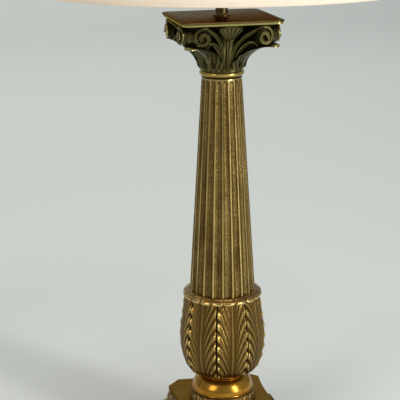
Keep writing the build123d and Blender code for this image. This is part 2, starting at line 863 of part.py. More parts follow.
# Saddle: a flat strip clamped under the socket, its ends bent up into tongues for the harp
with BuildPart() as harp_saddle:
    with BuildSketch(Plane.XY.offset(z_saddle)):
        Rectangle(2 * (arm_inner_reach + arm_thickness), saddle_width)
        Circle(saddle_boss_radius)
        Circle(thread_bore + rod_clearance, mode=Mode.SUBTRACT)
    extrude(amount=saddle_thickness)
    for side in (-1, 1):
        with BuildSketch(Plane.YZ.offset(side * arm_inner_reach)):
            with Locations((0, z_saddle + shoulder_height / 2)):
                Rectangle(saddle_width, shoulder_height)
            with Locations((0, z_saddle + tongue_height / 2)):
                Rectangle(tongue_width, tongue_height)
        extrude(amount=side * arm_thickness)
harp_saddle.part.label = "harp_saddle"
export_step(harp_saddle.part, "parts/harp_saddle.step")

# Harp: one bent wire whose legs stand against the tongues, with a seat and stud at its crown
leg_reach = arm_inner_reach + arm_thickness + thread_clearance + harp_wire_radius
z_crown = z_seat - seat_thickness / 2 - harp_wire_radius / 2
with BuildPart() as harp:
    right_half = [
        (leg_reach, z_saddle + harp_leg_foot),
        (leg_reach, z_saddle + harp_leg_top),
        (harp_bow_reach, z_saddle + harp_bow_low),
        (harp_bow_reach, z_saddle + harp_bow_high),
        (harp_crown_reach, z_crown),
    ]
    left_half = [(-reach, height) for reach, height in reversed(right_half)]
    bends = [harp_leg_bend, harp_low_bend, harp_high_bend, harp_crown_bend]
    with BuildLine(Plane.XZ) as harp_wire:
        FilletPolyline(*right_half, *left_half, radius=bends + bends[::-1])
    with BuildSketch(Plane(origin=harp_wire.line @ 0, z_dir=harp_wire.line % 0)):
        Circle(harp_wire_radius)
    sweep()
    with Locations((0, 0, z_seat - seat_thickness)):
        Cylinder(seat_radius, seat_thickness, align=(Align.CENTER, Align.CENTER, Align.MIN))
        Cylinder(stud_radius, seat_thickness + stud_height, align=(Align.CENTER, Align.CENTER, Align.MIN))
harp.part.label = "harp"
export_step(harp.part, "parts/harp.step")

# Sleeves that drop over each leg and tongue
sleeve_reach = arm_inner_reach + (arm_thickness + 2 * harp_wire_radius) / 2
for side, name in ((-1, "harp_sleeve_left"), (1, "harp_sleeve_right")):
    with BuildPart() as harp_sleeve:
        with BuildSketch(Plane.XY.offset(z_saddle + shoulder_height + nest_clearance)):
            with Locations((side * sleeve_reach, 0)):
                Circle(sleeve_radius)
                Circle(sleeve_bore, mode=Mode.SUBTRACT)
        extrude(amount=sleeve_height)
    harp_sleeve.part.label = name
    export_step(harp_sleeve.part, f"parts/{name}.step")

# Socket cap: a drawn cup on a threaded hub
with BuildPart() as socket_cap:
    with BuildSketch(Plane.XZ):
        with BuildLine():
            hub_foot = (cap_hub_radius, z_cap)
            rim_foot = (cap_rim_radius, z_cap + cap_height - cap_rim_height)
            rim_top = (cap_rim_radius, z_cap + cap_height)
            inner_top = (cap_rim_radius - cap_wall, z_cap + cap_height)
            inner_foot = (cap_rim_radius - cap_wall, z_cap + cap_height - cap_rim_height)
            hub_top = (cap_hub_radius, z_cap + cap_hub_height)
            TangentArc(rim_foot, hub_foot, tangent=(0, -1))
            Polyline(rim_foot, rim_top, inner_top, inner_foot)
            Line(inner_foot, hub_top)
            Polyline(hub_top, (thread_bore, z_cap + cap_hub_height), (thread_bore, z_cap), hub_foot)
        make_face()
    revolve(axis=Axis.Z)
socket_cap.part.label = "socket_cap"
export_step(socket_cap.part, "parts/socket_cap.step")

# Socket shell: a drawn tube with a rolled lip and a hole for the switch's stem
stem_hole = stem_radius + 1.0
with BuildPart() as socket_shell:
    with BuildSketch(Plane.XZ):
        with BuildLine():
            lip_foot = (shell_radius, z_cap + shell_top - 2 * shell_lip)
            lip_top = (shell_radius - shell_wall, z_cap + shell_top)
            Line((shell_radius, z_cap + shell_foot), lip_foot)
            ThreePointArc(lip_foot, (shell_radius + shell_lip, z_cap + shell_top - shell_lip), lip_top)
            Polyline(
                lip_top,
                (shell_radius - shell_wall, z_cap + shell_foot),
                (shell_radius, z_cap + shell_foot),
            )
        make_face()
    revolve(axis=Axis.Z)
    with BuildSketch(Plane.XZ):
        with Locations((0, z_cap + stem_height)):
            Circle(stem_hole)
    extrude(amount=2 * shell_radius, mode=Mode.SUBTRACT)
socket_shell.part.label = "socket_shell"
export_step(socket_shell.part, "parts/socket_shell.step")

# Card liner between the shell and the live parts
liner_radius = shell_radius - shell_wall - nest_clearance
with BuildPart() as socket_liner:
    with BuildSketch(Plane.XY.offset(z_cap + shell_foot)):
        Circle(liner_radius)
        Circle(liner_radius - liner_wall, mode=Mode.SUBTRACT)
    extrude(amount=screw_top - shell_foot)
    with BuildSketch(Plane.XZ):
        with Locations((0, z_cap + stem_height)):
            Circle(stem_hole)
    extrude(amount=2 * shell_radius, mode=Mode.SUBTRACT)
socket_liner.part.label = "socket_liner"
export_step(socket_liner.part, "parts/socket_liner.step")

# Moulded switch body, bored for the stem
with BuildPart() as switch_body:
    with BuildSketch(Plane.XZ):
        with BuildLine():
            cup_rise = cap_height - cap_rim_height - cap_hub_height
            cup_slope = cup_rise / (cap_rim_radius - cap_wall - cap_hub_radius)
            body_foot = z_cap + cap_hub_height + insulator_seat
            body_flank = body_foot + cup_slope * (insulator_radius - cap_hub_radius)
            Polyline(
                (0, body_foot),
                (cap_hub_radius, body_foot),
                (insulator_radius, body_flank),
                (insulator_radius, z_cap + insulator_top),
                (0, z_cap + insulator_top),
                close=True,
            )
        make_face()
    revolve(axis=Axis.Z)
    with BuildSketch(Plane.XZ.offset(stem_root)):
        with Locations((0, z_cap + stem_height)):
            Circle(stem_radius + turning_clearance)
    extrude(amount=insulator_radius, mode=Mode.SUBTRACT)
switch_body.part.label = "switch_body"
export_step(switch_body.part, "parts/switch_body.step")

# Screw shell that takes the bulb, and the contact under the bulb's tip
with BuildPart() as screw_shell:
    with BuildSketch(Plane.XY.offset(z_cap + insulator_top)):
        Circle(screw_bore + sleeve_wall)
        Circle(screw_bore, mode=Mode.SUBTRACT)
    extrude(amount=screw_top - insulator_top)
screw_shell.part.label = "screw_shell"
export_step(screw_shell.part, "parts/screw_shell.step")

with BuildPart() as centre_contact:
    with BuildSketch(Plane.XY.offset(z_cap + insulator_top)):
        Circle(contact_radius)
    extrude(amount=contact_height)
centre_contact.part.label = "centre_contact"
export_step(centre_contact.part, "parts/centre_contact.step")

# Switch knob: a grooved grip moulded on a thin stem that turns in the switch body
with BuildPart() as switch_knob:
    with BuildSketch(Plane.XZ.offset(stem_root + nest_clearance)):
        with Locations((0, z_cap + stem_height)):
            Circle(stem_radius)
    extrude(amount=knob_start - stem_root)
    with BuildSketch(Plane.XZ.offset(knob_start)):
        with Locations((0, z_cap + stem_height)):
            Circle(knob_radius)
            with PolarLocations(knob_radius, knob_grooves):
                Circle(knob_groove_radius, mode=Mode.SUBTRACT)
    extrude(amount=knob_length)
    chamfer(switch_knob.faces().sort_by(Axis.Y)[0].edges(), length=knob_edge / 2)
switch_knob.part.label = "switch_knob"
export_step(switch_knob.part, "parts/switch_knob.step")

# Bulb: a screw base, and a blown globe on it
z_bulb = z_cap + insulator_top + contact_height + bulb_gap
z_glass = z_bulb + bulb_base_height
with BuildPart() as bulb_base:
    with BuildSketch(Plane.XZ):
        with BuildLine():
            Polyline(
                (0, z_bulb),
                (bulb_tip_radius, z_bulb),
                (bulb_tip_radius, z_bulb + bulb_tip_height),
                (bulb_cone_radius, z_bulb + bulb_cone_height),
                (bulb_screw_radius, z_bulb + bulb_screw_start),
                (bulb_screw_radius, z_glass),
                (0, z_glass),
                close=True,
            )
        make_face()
    revolve(axis=Axis.Z)
bulb_base.part.label = "bulb_base"
export_step(bulb_base.part, "parts/bulb_base.step")


def globe_side(wall):
    """The globe's side from its neck to its top, drawn inwards by the glass's thickness."""
    z_centre = z_bulb + bulb_height - bulb_globe_radius
    neck_foot = (bulb_neck_radius - wall, z_glass + nest_clearance)
    neck_top = (bulb_neck_radius - wall, z_glass + bulb_neck_height)
    waist = (bulb_globe_radius - wall, z_centre)
    crown = (0, z_bulb + bulb_height - wall)
    Line(neck_foot, neck_top)
    Spline(neck_top, waist, tangents=[(0, 1), (0, 1)])
    TangentArc(waist, crown, tangent=(0, 1))
    return neck_foot, crown


with BuildPart() as bulb_glass:
    with BuildSketch(Plane.XZ):
        with BuildLine():
            outer_foot, outer_crown = globe_side(0)
            inner_foot, inner_crown = globe_side(bulb_wall)
            Line(outer_foot, inner_foot)
            Line(outer_crown, inner_crown)
        make_face()
    revolve(axis=Axis.Z)
bulb_glass.part.label = "bulb_glass"
export_step(bulb_glass.part, "parts/bulb_glass.step")

# Shade: a cone of lined fabric, hemmed at both edges over wire hoops
shade_slope = (shade_foot_radius - shade_top_radius) / shade_height


def shade_radius(height):
    """The cover's outer radius at a height above the table."""
    return shade_foot_radius - (height - z_shade_foot) * shade_slope


def shade_band(z_low, z_high, inner, outer):
    """A band that follows the cover between two heights, from one distance outside it to another."""
    with BuildSketch(Plane.XZ) as band:
        with BuildLine():
            Polyline(
                (shade_radius(z_low) + inner, z_low),
                (shade_radius(z_low) + outer, z_low),
                (shade_radius(z_high) + outer, z_high),
                (shade_radius(z_high) + inner, z_high),
                close=True,
            )
        make_face()
    return band.sketch


with BuildPart() as shade_cover:
    revolve(shade_band(z_shade_foot, z_shade_top, -shade_wall, 0), axis=Axis.Z)
shade_cover.part.label = "shade_cover"
export_step(shade_cover.part, "parts/shade_cover.step")

hem_outer = nest_clearance + hem_wall
with BuildPart() as shade_foot_hem:
    revolve(shade_band(z_shade_foot, z_shade_foot + hem_height, nest_clearance, hem_outer), axis=Axis.Z)
shade_foot_hem.part.label = "shade_foot_hem"
export_step(shade_foot_hem.part, "parts/shade_foot_hem.step")

with BuildPart() as shade_top_hem:
    revolve(shade_band(z_shade_top - hem_height, z_shade_top, nest_clearance, hem_outer), axis=Axis.Z)
shade_top_hem.part.label = "shade_top_hem"
export_step(shade_top_hem.part, "parts/shade_top_hem.step")

hoop_inset = shade_wall + hoop_radius + nest_clearance
z_foot_hoop = z_shade_foot + 2 * hoop_radius
with BuildPart() as shade_foot_hoop:
    with Locations((0, 0, z_foot_hoop)):
        Torus(shade_radius(z_foot_hoop + hoop_radius) - hoop_inset, hoop_radius)
shade_foot_hoop.part.label = "shade_foot_hoop"
export_step(shade_foot_hoop.part, "parts/shade_foot_hoop.step")

# Spider: the top hoop, three arms and the ring that sits on the harp
z_top_hoop = z_shade_top - 2 * hoop_radius
z_spider = z_seat + nest_clearance
top_hoop_radius = shade_radius(z_top_hoop + hoop_radius) - hoop_inset
with BuildPart() as shade_spider:
    with Locations((0, 0, z_top_hoop)):
        Torus(top_hoop_radius, hoop_radius)
    for arm in range(spider_arms):
        z_arm = z_spider + spider_arm_radius
        arm_plane = radial_plane(-front + arm * 360 / spider_arms)
        with BuildLine(arm_plane) as arm_wire:
            FilletPolyline(
                (spider_ring_radius - 2 * spider_arm_radius, z_arm),
                (spider_bend_reach, z_arm),
                (top_hoop_radius, z_top_hoop),
                radius=spider_bend_radius,
            )
        with BuildSketch(Plane(origin=arm_wire.line @ 0, z_dir=arm_wire.line % 0)):
            Circle(spider_arm_radius)
        sweep()
    with BuildSketch(Plane.XY.offset(z_spider)):
        Circle(spider_ring_radius)
    extrude(amount=spider_ring_thickness)
    with BuildSketch(Plane.XY.offset(z_spider)):
        Circle(stud_radius + rod_clearance)
    extrude(amount=spider_ring_thickness, mode=Mode.SUBTRACT)
shade_spider.part.label = "shade_spider"
export_step(shade_spider.part, "parts/shade_spider.step")

# Finial: a turned knob round a threaded bush that screws down the harp's stud
z_finial = z_spider + spider_ring_thickness + nest_clearance
with BuildPart() as finial_bush:
    with BuildSketch(Plane.XY.offset(z_finial)):
        Circle(insert_radius)
        Circle(stud_radius + thread_clearance, mode=Mode.SUBTRACT)
    extrude(amount=insert_height)
finial_bush.part.label = "finial_bush"
export_step(finial_bush.part, "parts/finial_bush.step")

with BuildPart() as finial:
    with BuildSketch(Plane.XZ):
        with BuildLine():
            finial_bore = insert_radius + turning_clearance
            foot_top = (finial_foot_radius, z_finial + finial_foot_height)
            barrel_foot = (finial_barrel_radius, z_finial + finial_foot_height)
            barrel_top = (finial_barrel_radius, z_finial + finial_bore_height)
            neck = (finial_neck_radius, z_finial + finial_neck_height)
            z_ball = neck[1] + math.sqrt(finial_ball_radius**2 - finial_neck_radius**2)
            button_rise = math.sqrt(finial_ball_radius**2 - finial_button_radius**2)
            button_foot = (finial_button_radius, z_ball + button_rise)
            button_top = (finial_button_radius, button_foot[1] + finial_button_height)
            tip = (0, button_top[1] + finial_button_radius)
            bore_foot = (finial_bore, z_finial)
            Polyline(bore_foot, (finial_foot_radius, z_finial), foot_top, barrel_foot, barrel_top)
            TangentArc(barrel_top, neck, tangent=(-1, 0))
            ThreePointArc(neck, (finial_ball_radius, z_ball), button_foot)
            Line(button_foot, button_top)
            TangentArc(button_top, tip, tangent=(0, 1))
            Polyline(
                tip,
                (0, z_finial + finial_bore_height),
                (finial_bore, z_finial + finial_bore_height),
                (finial_bore, z_finial),
            )
        make_face()
    revolve(axis=Axis.Z)
finial.part.label = "finial"
export_step(finial.part, "parts/finial.step")
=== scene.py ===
import bpy
import math
import numpy as np
from mathutils import Matrix, Vector


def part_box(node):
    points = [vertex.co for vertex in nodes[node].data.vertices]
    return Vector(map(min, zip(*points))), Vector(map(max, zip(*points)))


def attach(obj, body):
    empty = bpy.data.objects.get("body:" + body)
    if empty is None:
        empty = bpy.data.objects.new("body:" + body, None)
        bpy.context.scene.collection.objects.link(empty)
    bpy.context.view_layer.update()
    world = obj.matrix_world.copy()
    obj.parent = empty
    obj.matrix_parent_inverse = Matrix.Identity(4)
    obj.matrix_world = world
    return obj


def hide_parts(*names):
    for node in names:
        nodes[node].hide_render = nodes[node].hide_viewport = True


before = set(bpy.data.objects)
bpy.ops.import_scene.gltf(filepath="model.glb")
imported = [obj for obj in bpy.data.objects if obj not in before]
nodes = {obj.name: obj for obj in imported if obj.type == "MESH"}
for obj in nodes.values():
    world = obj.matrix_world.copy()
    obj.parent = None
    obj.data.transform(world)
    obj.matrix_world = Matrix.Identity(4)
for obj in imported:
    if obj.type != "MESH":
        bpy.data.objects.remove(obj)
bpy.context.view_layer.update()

# Camera: it stands in front of the lamp and a little to its left, just above the slab under the shade,
# and looks down the column, which stands a little right of the picture's middle.
lens = 102.9
sensor = 36.0
camera_place = Vector((-0.3022, -1.1719, 0.6426))
camera_pitch = math.radians(16.14)
camera_yaw = math.radians(1.15)
camera_roll = math.radians(-0.45)

to_axis = math.atan2(-camera_place.x, -camera_place.y)
camera_data = bpy.data.cameras.new("camera")
camera_data.lens = lens
camera_data.sensor_width = sensor
camera_data.clip_end = 50
camera = bpy.data.objects.new("camera", camera_data)
bpy.context.scene.collection.objects.link(camera)
heading = Matrix.Rotation(camera_yaw - to_axis, 4, "Z")
tilt = Matrix.Rotation(math.pi / 2 - camera_pitch, 4, "X")
roll = Matrix.Rotation(camera_roll, 4, "Z")
camera.matrix_world = Matrix.Translation(camera_place) @ heading @ tilt @ roll
bpy.context.scene.camera = camera

# Stage: a pale table top that sweeps up into a pale wall behind the lamp, and soft studio light
# from the left, the right and above.
table_half = 14.0
wall_reach = 5.0
wall_height = 4.5
sweep_radius = 1.5
sweep_segments = 24
wall_colour = (0.70, 0.725, 0.69, 1)
sky_colour = (0.80, 0.84, 0.86, 1)
sky_strength = 0.42
warm_white = (1.0, 0.90, 0.78)


class Wire:
    """A number that a material works out over a surface. Sums with it add Math nodes."""

    def __init__(self, tree, socket):
        self.tree = tree
        self.socket = socket

    def maths(self, operation, *values, clamp=False):
        step = self.tree.nodes.new("ShaderNodeMath")
        step.operation = operation
        step.use_clamp = clamp
        for slot, value in zip(step.inputs, values):
            if isinstance(value, Wire):
                self.tree.links.new(value.socket, slot)
            else:
                slot.default_value = value
        return Wire(self.tree, step.outputs[0])

    def __add__(self, other):
        return self.maths("ADD", self, other)

    def __radd__(self, other):
        return self.maths("ADD", other, self)

    def __sub__(self, other):
        return self.maths("SUBTRACT", self, other)

    def __rsub__(self, other):
        return self.maths("SUBTRACT", other, self)

    def __mul__(self, other):
        return self.maths("MULTIPLY", self, other)

    def __rmul__(self, other):
        return self.maths("MULTIPLY", other, self)

    def __neg__(self):
        return self.maths("MULTIPLY", self, -1.0)

    def share(self, low=0.0, high=1.0):
        """How far the number is on the way from low to high, held between 0 and 1."""
        return self.maths("MULTIPLY", self - low, 1 / (high - low), clamp=True)


class Finish:
    """A material under way, round its main shader."""

    def __init__(self, name, metallic=0.0, roughness=0.5, **constants):
        self.material = bpy.data.materials.new(name)
        self.material.use_nodes = True
        self.tree = self.material.node_tree
        self.shader = self.tree.nodes["Principled BSDF"]
        self.set("Metallic", metallic)
        self.set("Roughness", roughness)
        for socket, value in constants.items():
            self.set(socket.replace("_", " ").title(), value)

    def set(self, socket, value):
        """Puts a constant or a wire on one of the main shader's sockets."""
        if isinstance(value, Wire):
            self.tree.links.new(value.socket, self.shader.inputs[socket])
        else:
            self.shader.inputs[socket].default_value = value

    def node(self, kind, settings, inputs, output=0):
        """Adds a node: its settings first, then the values or wires of its sockets."""
        step = self.tree.nodes.new(kind)
        for name, value in settings.items():
            setattr(step, name, value)
        for name, value in inputs.items():
            if isinstance(value, Wire):
                self.tree.links.new(value.socket, step.inputs[name])
            else:
                step.inputs[name].default_value = value
        return Wire(self.tree, step.outputs[output])

    def place(self):
        """The point's place on the lamp, in metres."""
        return self.node("ShaderNodeTexCoord", {}, {}, "Object")

    def noise(self, vector, scale, detail=3.0, roughness=0.55):
        """Cloudy noise from 0 to 1, with this many clouds to the metre."""
        sockets = {"Vector": vector, "Scale": scale, "Detail": detail, "Roughness": roughness}
        return self.node("ShaderNodeTexNoise", {}, sockets, "Fac")

    def stored(self, name):
        """A number stored on the piece's points."""
        return self.node("ShaderNodeAttribute", {"attribute_name": name}, {}, "Fac")

    def mix(self, share, first, second):
        """Colour that goes from the first to the second as the share goes from 0 to 1."""
        sockets = {"Factor": share, "A": first, "B": second}
        step = self.tree.nodes.new("ShaderNodeMix")
        step.data_type = "RGBA"
        for socket in step.inputs:
            if socket.enabled and socket.name in sockets:
                value = sockets[socket.name]
                if isinstance(value, Wire):
                    self.tree.links.new(value.socket, socket)
                else:
                    socket.default_value = value
        return Wire(self.tree, [socket for socket in step.outputs if socket.enabled][0])

    def bump(self, height, depth):
        """Presses a pattern of this depth in metres into the surface."""
        sockets = {"Height": height, "Distance": depth, "Strength": 1.0}
        self.set("Normal", self.node("ShaderNodeBump", {}, sockets, "Normal"))


def wear(piece, material):
    """Gives a piece its finish."""
    piece.data.materials.clear()
    piece.data.materials.append(material)


def pale_backdrop():
    """Matt pale paint, which shows at its own colour wherever the light on it falls off."""
    finish = Finish("pale_backdrop", roughness=0.9)
    finish.set("Base Color", wall_colour)
    return finish.material


bpy.ops.object.select_all(action="DESELECT")
bpy.ops.mesh.primitive_plane_add(size=2 * table_half)
backdrop = bpy.context.object
backdrop.name = "backdrop"
for vertex in backdrop.data.vertices:
    if vertex.co.y > 0:
        vertex.co.y = wall_reach
bpy.ops.object.mode_set(mode="EDIT")
bpy.ops.mesh.select_all(action="DESELECT")
bpy.ops.object.mode_set(mode="OBJECT")
for edge in backdrop.data.edges:
    edge.select = all(backdrop.data.vertices[end].co.y > 0 for end in edge.vertices)
bpy.ops.object.mode_set(mode="EDIT")
bpy.ops.mesh.select_mode(type="EDGE")
bpy.ops.mesh.extrude_region_move(TRANSFORM_OT_translate={"value": (0, 0, wall_height)})
bpy.ops.object.mode_set(mode="OBJECT")
sweep = backdrop.modifiers.new("sweep", "BEVEL")
sweep.width = sweep_radius
sweep.segments = sweep_segments
bpy.ops.object.modifier_apply(modifier="sweep")
bpy.ops.object.shade_smooth()
wear(backdrop, pale_backdrop())

world = bpy.data.worlds.new("studio")
world.use_nodes = True
world.node_tree.nodes["Background"].inputs["Color"].default_value = sky_colour
world.node_tree.nodes["Background"].inputs["Strength"].default_value = sky_strength
bpy.context.scene.world = world


def soft_lamp(name, place, aim, width, height, power, colour=(1, 1, 1)):
    """A soft studio lamp that shines from a place towards a point."""
    lamp = bpy.data.lights.new(name, "AREA")
    lamp.shape = "RECTANGLE"
    lamp.size = width
    lamp.size_y = height
    lamp.energy = power
    lamp.color = colour
    stand = bpy.data.objects.new(name, lamp)
    bpy.context.scene.collection.objects.link(stand)
    stand.location = place
    stand.rotation_euler = (Vector(aim) - Vector(place)).to_track_quat("-Z", "Y").to_euler()


soft_lamp("left_light", (-1.9, -1.3, 1.5), (0, 0, 0.45), 0.9, 1.4, 16, warm_white)
soft_lamp("right_light", (1.3, -1.7, 0.9), (0, 0, 0.35), 0.30, 1.4, 30)
soft_lamp("wall_light", (0, 1.8, 3.2), (0, 5.0, 0.3), 3.0, 1.2, 52)
soft_lamp("top_light", (0.2, -0.4, 2.3), (0, 0, 0.5), 1.0, 1.0, 14)
bpy.context.scene.view_settings.view_transform = "Standard"

# Felt: a green wool felt pad glued under the block, so that the casting doesn't mark the table. Its
# corners are cut off a little inside the block's.
felt_green = (0.030, 0.062, 0.036, 1)
felt_dark = (0.016, 0.036, 0.022, 1)
felt_fibre = 900.0
felt_edge = 0.0004
felt_clip = 0.0247
sharp_edge = math.radians(40)


def choose(*pieces):
    """Leaves only these pieces selected, with the first one active."""
    bpy.ops.object.select_all(action="DESELECT")
    for piece in pieces:
        piece.select_set(True)
    bpy.context.view_layer.objects.active = pieces[0]


def felt():
    """Pressed wool: matt, mottled and slightly hairy."""
    finish = Finish("wool_felt", roughness=0.95, sheen_weight=0.3)
    fibres = finish.noise(finish.place(), felt_fibre, detail=6.0, roughness=0.7)
    finish.set("Base Color", finish.mix(fibres.share(0.3, 0.7), felt_dark, felt_green))
    finish.bump(fibres, 0.0006)
    return finish.material


felt_low, felt_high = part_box("felt_pad")
bpy.ops.object.select_all(action="DESELECT")
bpy.ops.mesh.primitive_cube_add(size=1, location=(felt_low + felt_high) / 2)
pad = bpy.context.object
pad.name = "wool_felt_pad"
pad.scale = felt_high - felt_low
bpy.ops.object.transform_apply(location=True, rotation=True, scale=True)
bpy.ops.object.mode_set(mode="EDIT")
bpy.ops.mesh.select_all(action="DESELECT")
bpy.ops.object.mode_set(mode="OBJECT")
for edge in pad.data.edges:
    ends = [pad.data.vertices[end].co for end in edge.vertices]
    edge.select = abs(ends[0].z - ends[1].z) > felt_edge
bpy.ops.object.mode_set(mode="EDIT")
bpy.ops.mesh.select_mode(type="EDGE")
bpy.ops.mesh.bevel(offset=felt_clip, segments=1)
bpy.ops.mesh.select_all(action="SELECT")
bpy.ops.mesh.bevel(offset=felt_edge, segments=2)
bpy.ops.object.mode_set(mode="OBJECT")
choose(pad)
bpy.ops.object.shade_smooth_by_angle(angle=sharp_edge)
wear(pad, felt())
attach(pad, "lamp")
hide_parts("felt_pad")

# Plate: a square brass plate with clipped corners on top of the plinth, which carries the pedestal. It
# is browned in a bath and rubbed back by hand, as every aged casting on the lamp is.
brown_dark = (0.055, 0.028, 0.008, 1)
brown_bright = (0.560, 0.380, 0.120, 1)
plate_brown = (0.270, 0.165, 0.058, 1)
plate_skin = (0.62, 0.46, 0.26, 1)
cloud_scale = 26.0
grain_scale = 900.0
grain_depth = 0.00012


def aged_brass(name, hollow, flat, crest, roughness=0.34, skin=(1, 1, 1, 1)):
    """Antique brass: one colour on the flats, darker in its hollows and paler on its crests, which are
    rubbed bright on most castings and carry a painted highlight on the abacus. The skin tints what it
    mirrors at a low angle."""
    finish = Finish(name, metallic=1.0, specular_tint=skin)
    place = finish.place()
    relief = finish.stored("relief")
    cloud = finish.noise(place, cloud_scale, detail=5.0)
    speck = finish.noise(place, grain_scale, detail=2.0)
    depth = (-relief + (cloud - 0.5) * 0.55).share(0.02, 0.75)
    crown = (relief + (cloud - 0.5) * 0.35).share(0.12, 0.80)
    stain = (cloud + speck * 0.25).share(0.45, 0.85)
    worn = finish.mix(stain * 0.35, flat, hollow)
    tone = finish.mix(depth, worn, hollow)
    finish.set("Base Color", finish.mix(crown, tone, crest))
    finish.set("Roughness", roughness + depth * 0.30 - crown * 0.10 + (speck - 0.5) * 0.16)
    finish.bump(speck, grain_depth)
    return finish.material


plate_brass = aged_brass("plate_brass", brown_dark, plate_brown, brown_bright, 0.42, plate_skin)
wear(nodes["plinth_plate"], plate_brass)

# Bushing: a black moulded bushing pushed into the block's back wall, which keeps the cord off the brass.
# The switch's body, inside the socket, is moulded from the same plastic.
plastic_black = (0.012, 0.012, 0.013, 1)


def moulded_plastic(name, colour, roughness):
    """Moulded plastic with a faint orange-peel skin."""
    finish = Finish(name, roughness=roughness)
    skin = finish.noise(finish.place(), 1400.0, detail=2.0)
    finish.set("Base Color", finish.mix(skin.share(0.2, 0.8), tuple(part * 0.8 for part in colour), colour))
    finish.set("Roughness", roughness + (skin - 0.5) * 0.2)
    finish.bump(skin, 0.00005)
    return finish.material


black_plastic = moulded_plastic("black_plastic", plastic_black, 0.5)
wear(nodes["cord_bushing"], black_plastic)
wear(nodes["switch_body"], black_plastic)

# Weight, washer, nut and rod: a cast iron disc and zinc-plated steel, closed up inside the plinth and the
# column. The rod ties all the castings together.
iron_grey = (0.050, 0.048, 0.046, 1)
iron_rust = (0.110, 0.085, 0.070, 1)
zinc_grey = (0.420, 0.420, 0.410, 1)
zinc_shade = (0.300, 0.300, 0.310, 1)


def rough_iron():
    """Cast iron as it left the sand."""
    finish = Finish("rough_iron", metallic=0.8)
    sand = finish.noise(finish.place(), 500.0, detail=6.0)
    finish.set("Base Color", finish.mix(sand.share(0.3, 0.8), iron_grey, iron_rust))
    finish.set("Roughness", 0.55 + sand * 0.3)
    finish.bump(sand, 0.0006)
    return finish.material


def plated_metal(name, colour, shade, roughness):
    """Plated steel or spun metal with fine drawing marks round the lamp's axis."""
    finish = Finish(name, metallic=1.0)
    stretch = finish.node("ShaderNodeMapping", {}, {"Vector": finish.place(), "Scale": (60.0, 60.0, 2600.0)})
    marks = finish.noise(stretch, 1.0, detail=4.0)
    cloud = finish.noise(finish.place(), 60.0)
    finish.set("Base Color", finish.mix((cloud * 0.7 + marks * 0.3).share(0.3, 0.7), shade, colour))
    finish.set("Roughness", roughness + (marks - 0.5) * 0.2 + cloud * 0.06)
    finish.bump(marks, 0.00003)
    return finish.material


zinc_steel = plated_metal("zinc_steel", zinc_grey, zinc_shade, 0.38)
wear(nodes["base_weight"], rough_iron())
for name in ("lock_washer", "rod_nut", "threaded_rod"):
    wear(nodes[name], zinc_steel)

# Pedestal: a spun dome with a bead round its foot and a thin ring on its neck, the brightest brass on
# the lamp, because a cloth reaches all of it.
gold_bright = (0.560, 0.290, 0.040, 1)
gold_shade = (0.330, 0.150, 0.018, 1)
pale_bright = (0.760, 0.540, 0.200, 1)
pale_shade = (0.480, 0.300, 0.090, 1)
polished_brass = plated_metal("polished_brass", gold_bright, gold_shade, 0.20)
wear(nodes["pedestal_dome"], polished_brass)
wear(nodes["vase_ring"], plated_metal("vase_ring_brass", pale_bright, pale_shade, 0.28))

# Block: a hollow square brass casting with clipped corners and a low step on top, browned in a bath and
# rubbed back by hand, so that its edges are brighter than its flats. The felt pad closes it underneath.
brown_mid = (0.200, 0.115, 0.032, 1)
block_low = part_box("base_block")[0]
block_columns = 480
block_rows = 40
block_clip = 0.0240
block_shares = (0.00, 0.04, 0.10, 0.60, 0.70, 0.78, 0.84, 0.94, 1.00)
block_heights = (0.0000, 0.0002, 0.0010, 0.0195, 0.0212, 0.0219, 0.0222, 0.0242, 0.0250)
block_halves = (0.0752, 0.0758, 0.0760, 0.0760, 0.0754, 0.0742, 0.0737, 0.0735, 0.0726)
arris = 0.001
weld = 0.00002
soft_edge = math.radians(60)


def carved_skin(name, columns, rows, shape):
    """A closed skin round the lamp's axis. A flat grid is rolled up, and its points are moved to the place
    that shape gives for each turn round the axis and each share of the way up, with the relief there."""
    bpy.ops.object.select_all(action="DESELECT")
    bpy.ops.mesh.primitive_grid_add(x_subdivisions=columns, y_subdivisions=rows, size=1)
    skin = bpy.context.object
    skin.name = name
    points = np.empty(len(skin.data.vertices) * 3)
    skin.data.vertices.foreach_get("co", points)
    points = points.reshape(-1, 3)
    x, y, z, relief = shape((points[:, 0] + 0.5) * math.tau, points[:, 1] + 0.5)
    skin.data.vertices.foreach_set("co", np.column_stack((x, y, z)).ravel())
    stored = skin.data.attributes.new("relief", "FLOAT", "POINT")
    stored.data.foreach_set("value", np.broadcast_to(relief, len(x)).astype(np.float32))
    bpy.ops.object.mode_set(mode="EDIT")
    bpy.ops.mesh.select_all(action="SELECT")
    bpy.ops.mesh.remove_doubles(threshold=weld)
    bpy.ops.mesh.fill_holes(sides=0)
    bpy.ops.mesh.select_all(action="SELECT")
    bpy.ops.mesh.normals_make_consistent(inside=False)
    bpy.ops.object.mode_set(mode="OBJECT")
    choose(skin)
    bpy.ops.object.shade_smooth_by_angle(angle=soft_edge)
    return skin


def hump(distance, width):
    """A smooth hump of height 1, with this half width where it has fallen to a third."""
    return np.exp(-((distance / width) ** 2))


def square_reach(turn, half, corner):
    """How far out a square with rounded corners lies, this way round the lamp's axis."""
    level = np.maximum(np.abs(np.cos(turn)), np.abs(np.sin(turn)))
    both = np.abs(np.cos(turn)) + np.abs(np.sin(turn))
    middle = half - corner
    rounded = middle * both + np.sqrt(np.maximum(middle**2 * (both**2 - 2) + corner**2, 0))
    straight = half / level
    on_side = straight * (both - level) <= middle
    return np.where(on_side, straight, rounded)


def clipped_reach(turn, half, clip):
    """How far out a square with clipped corners lies, this way round the lamp's axis."""
    slant = np.abs(np.cos(turn)) + np.abs(np.sin(turn))
    return np.minimum(square_reach(turn, half, arris), (2 * half - clip) / slant)


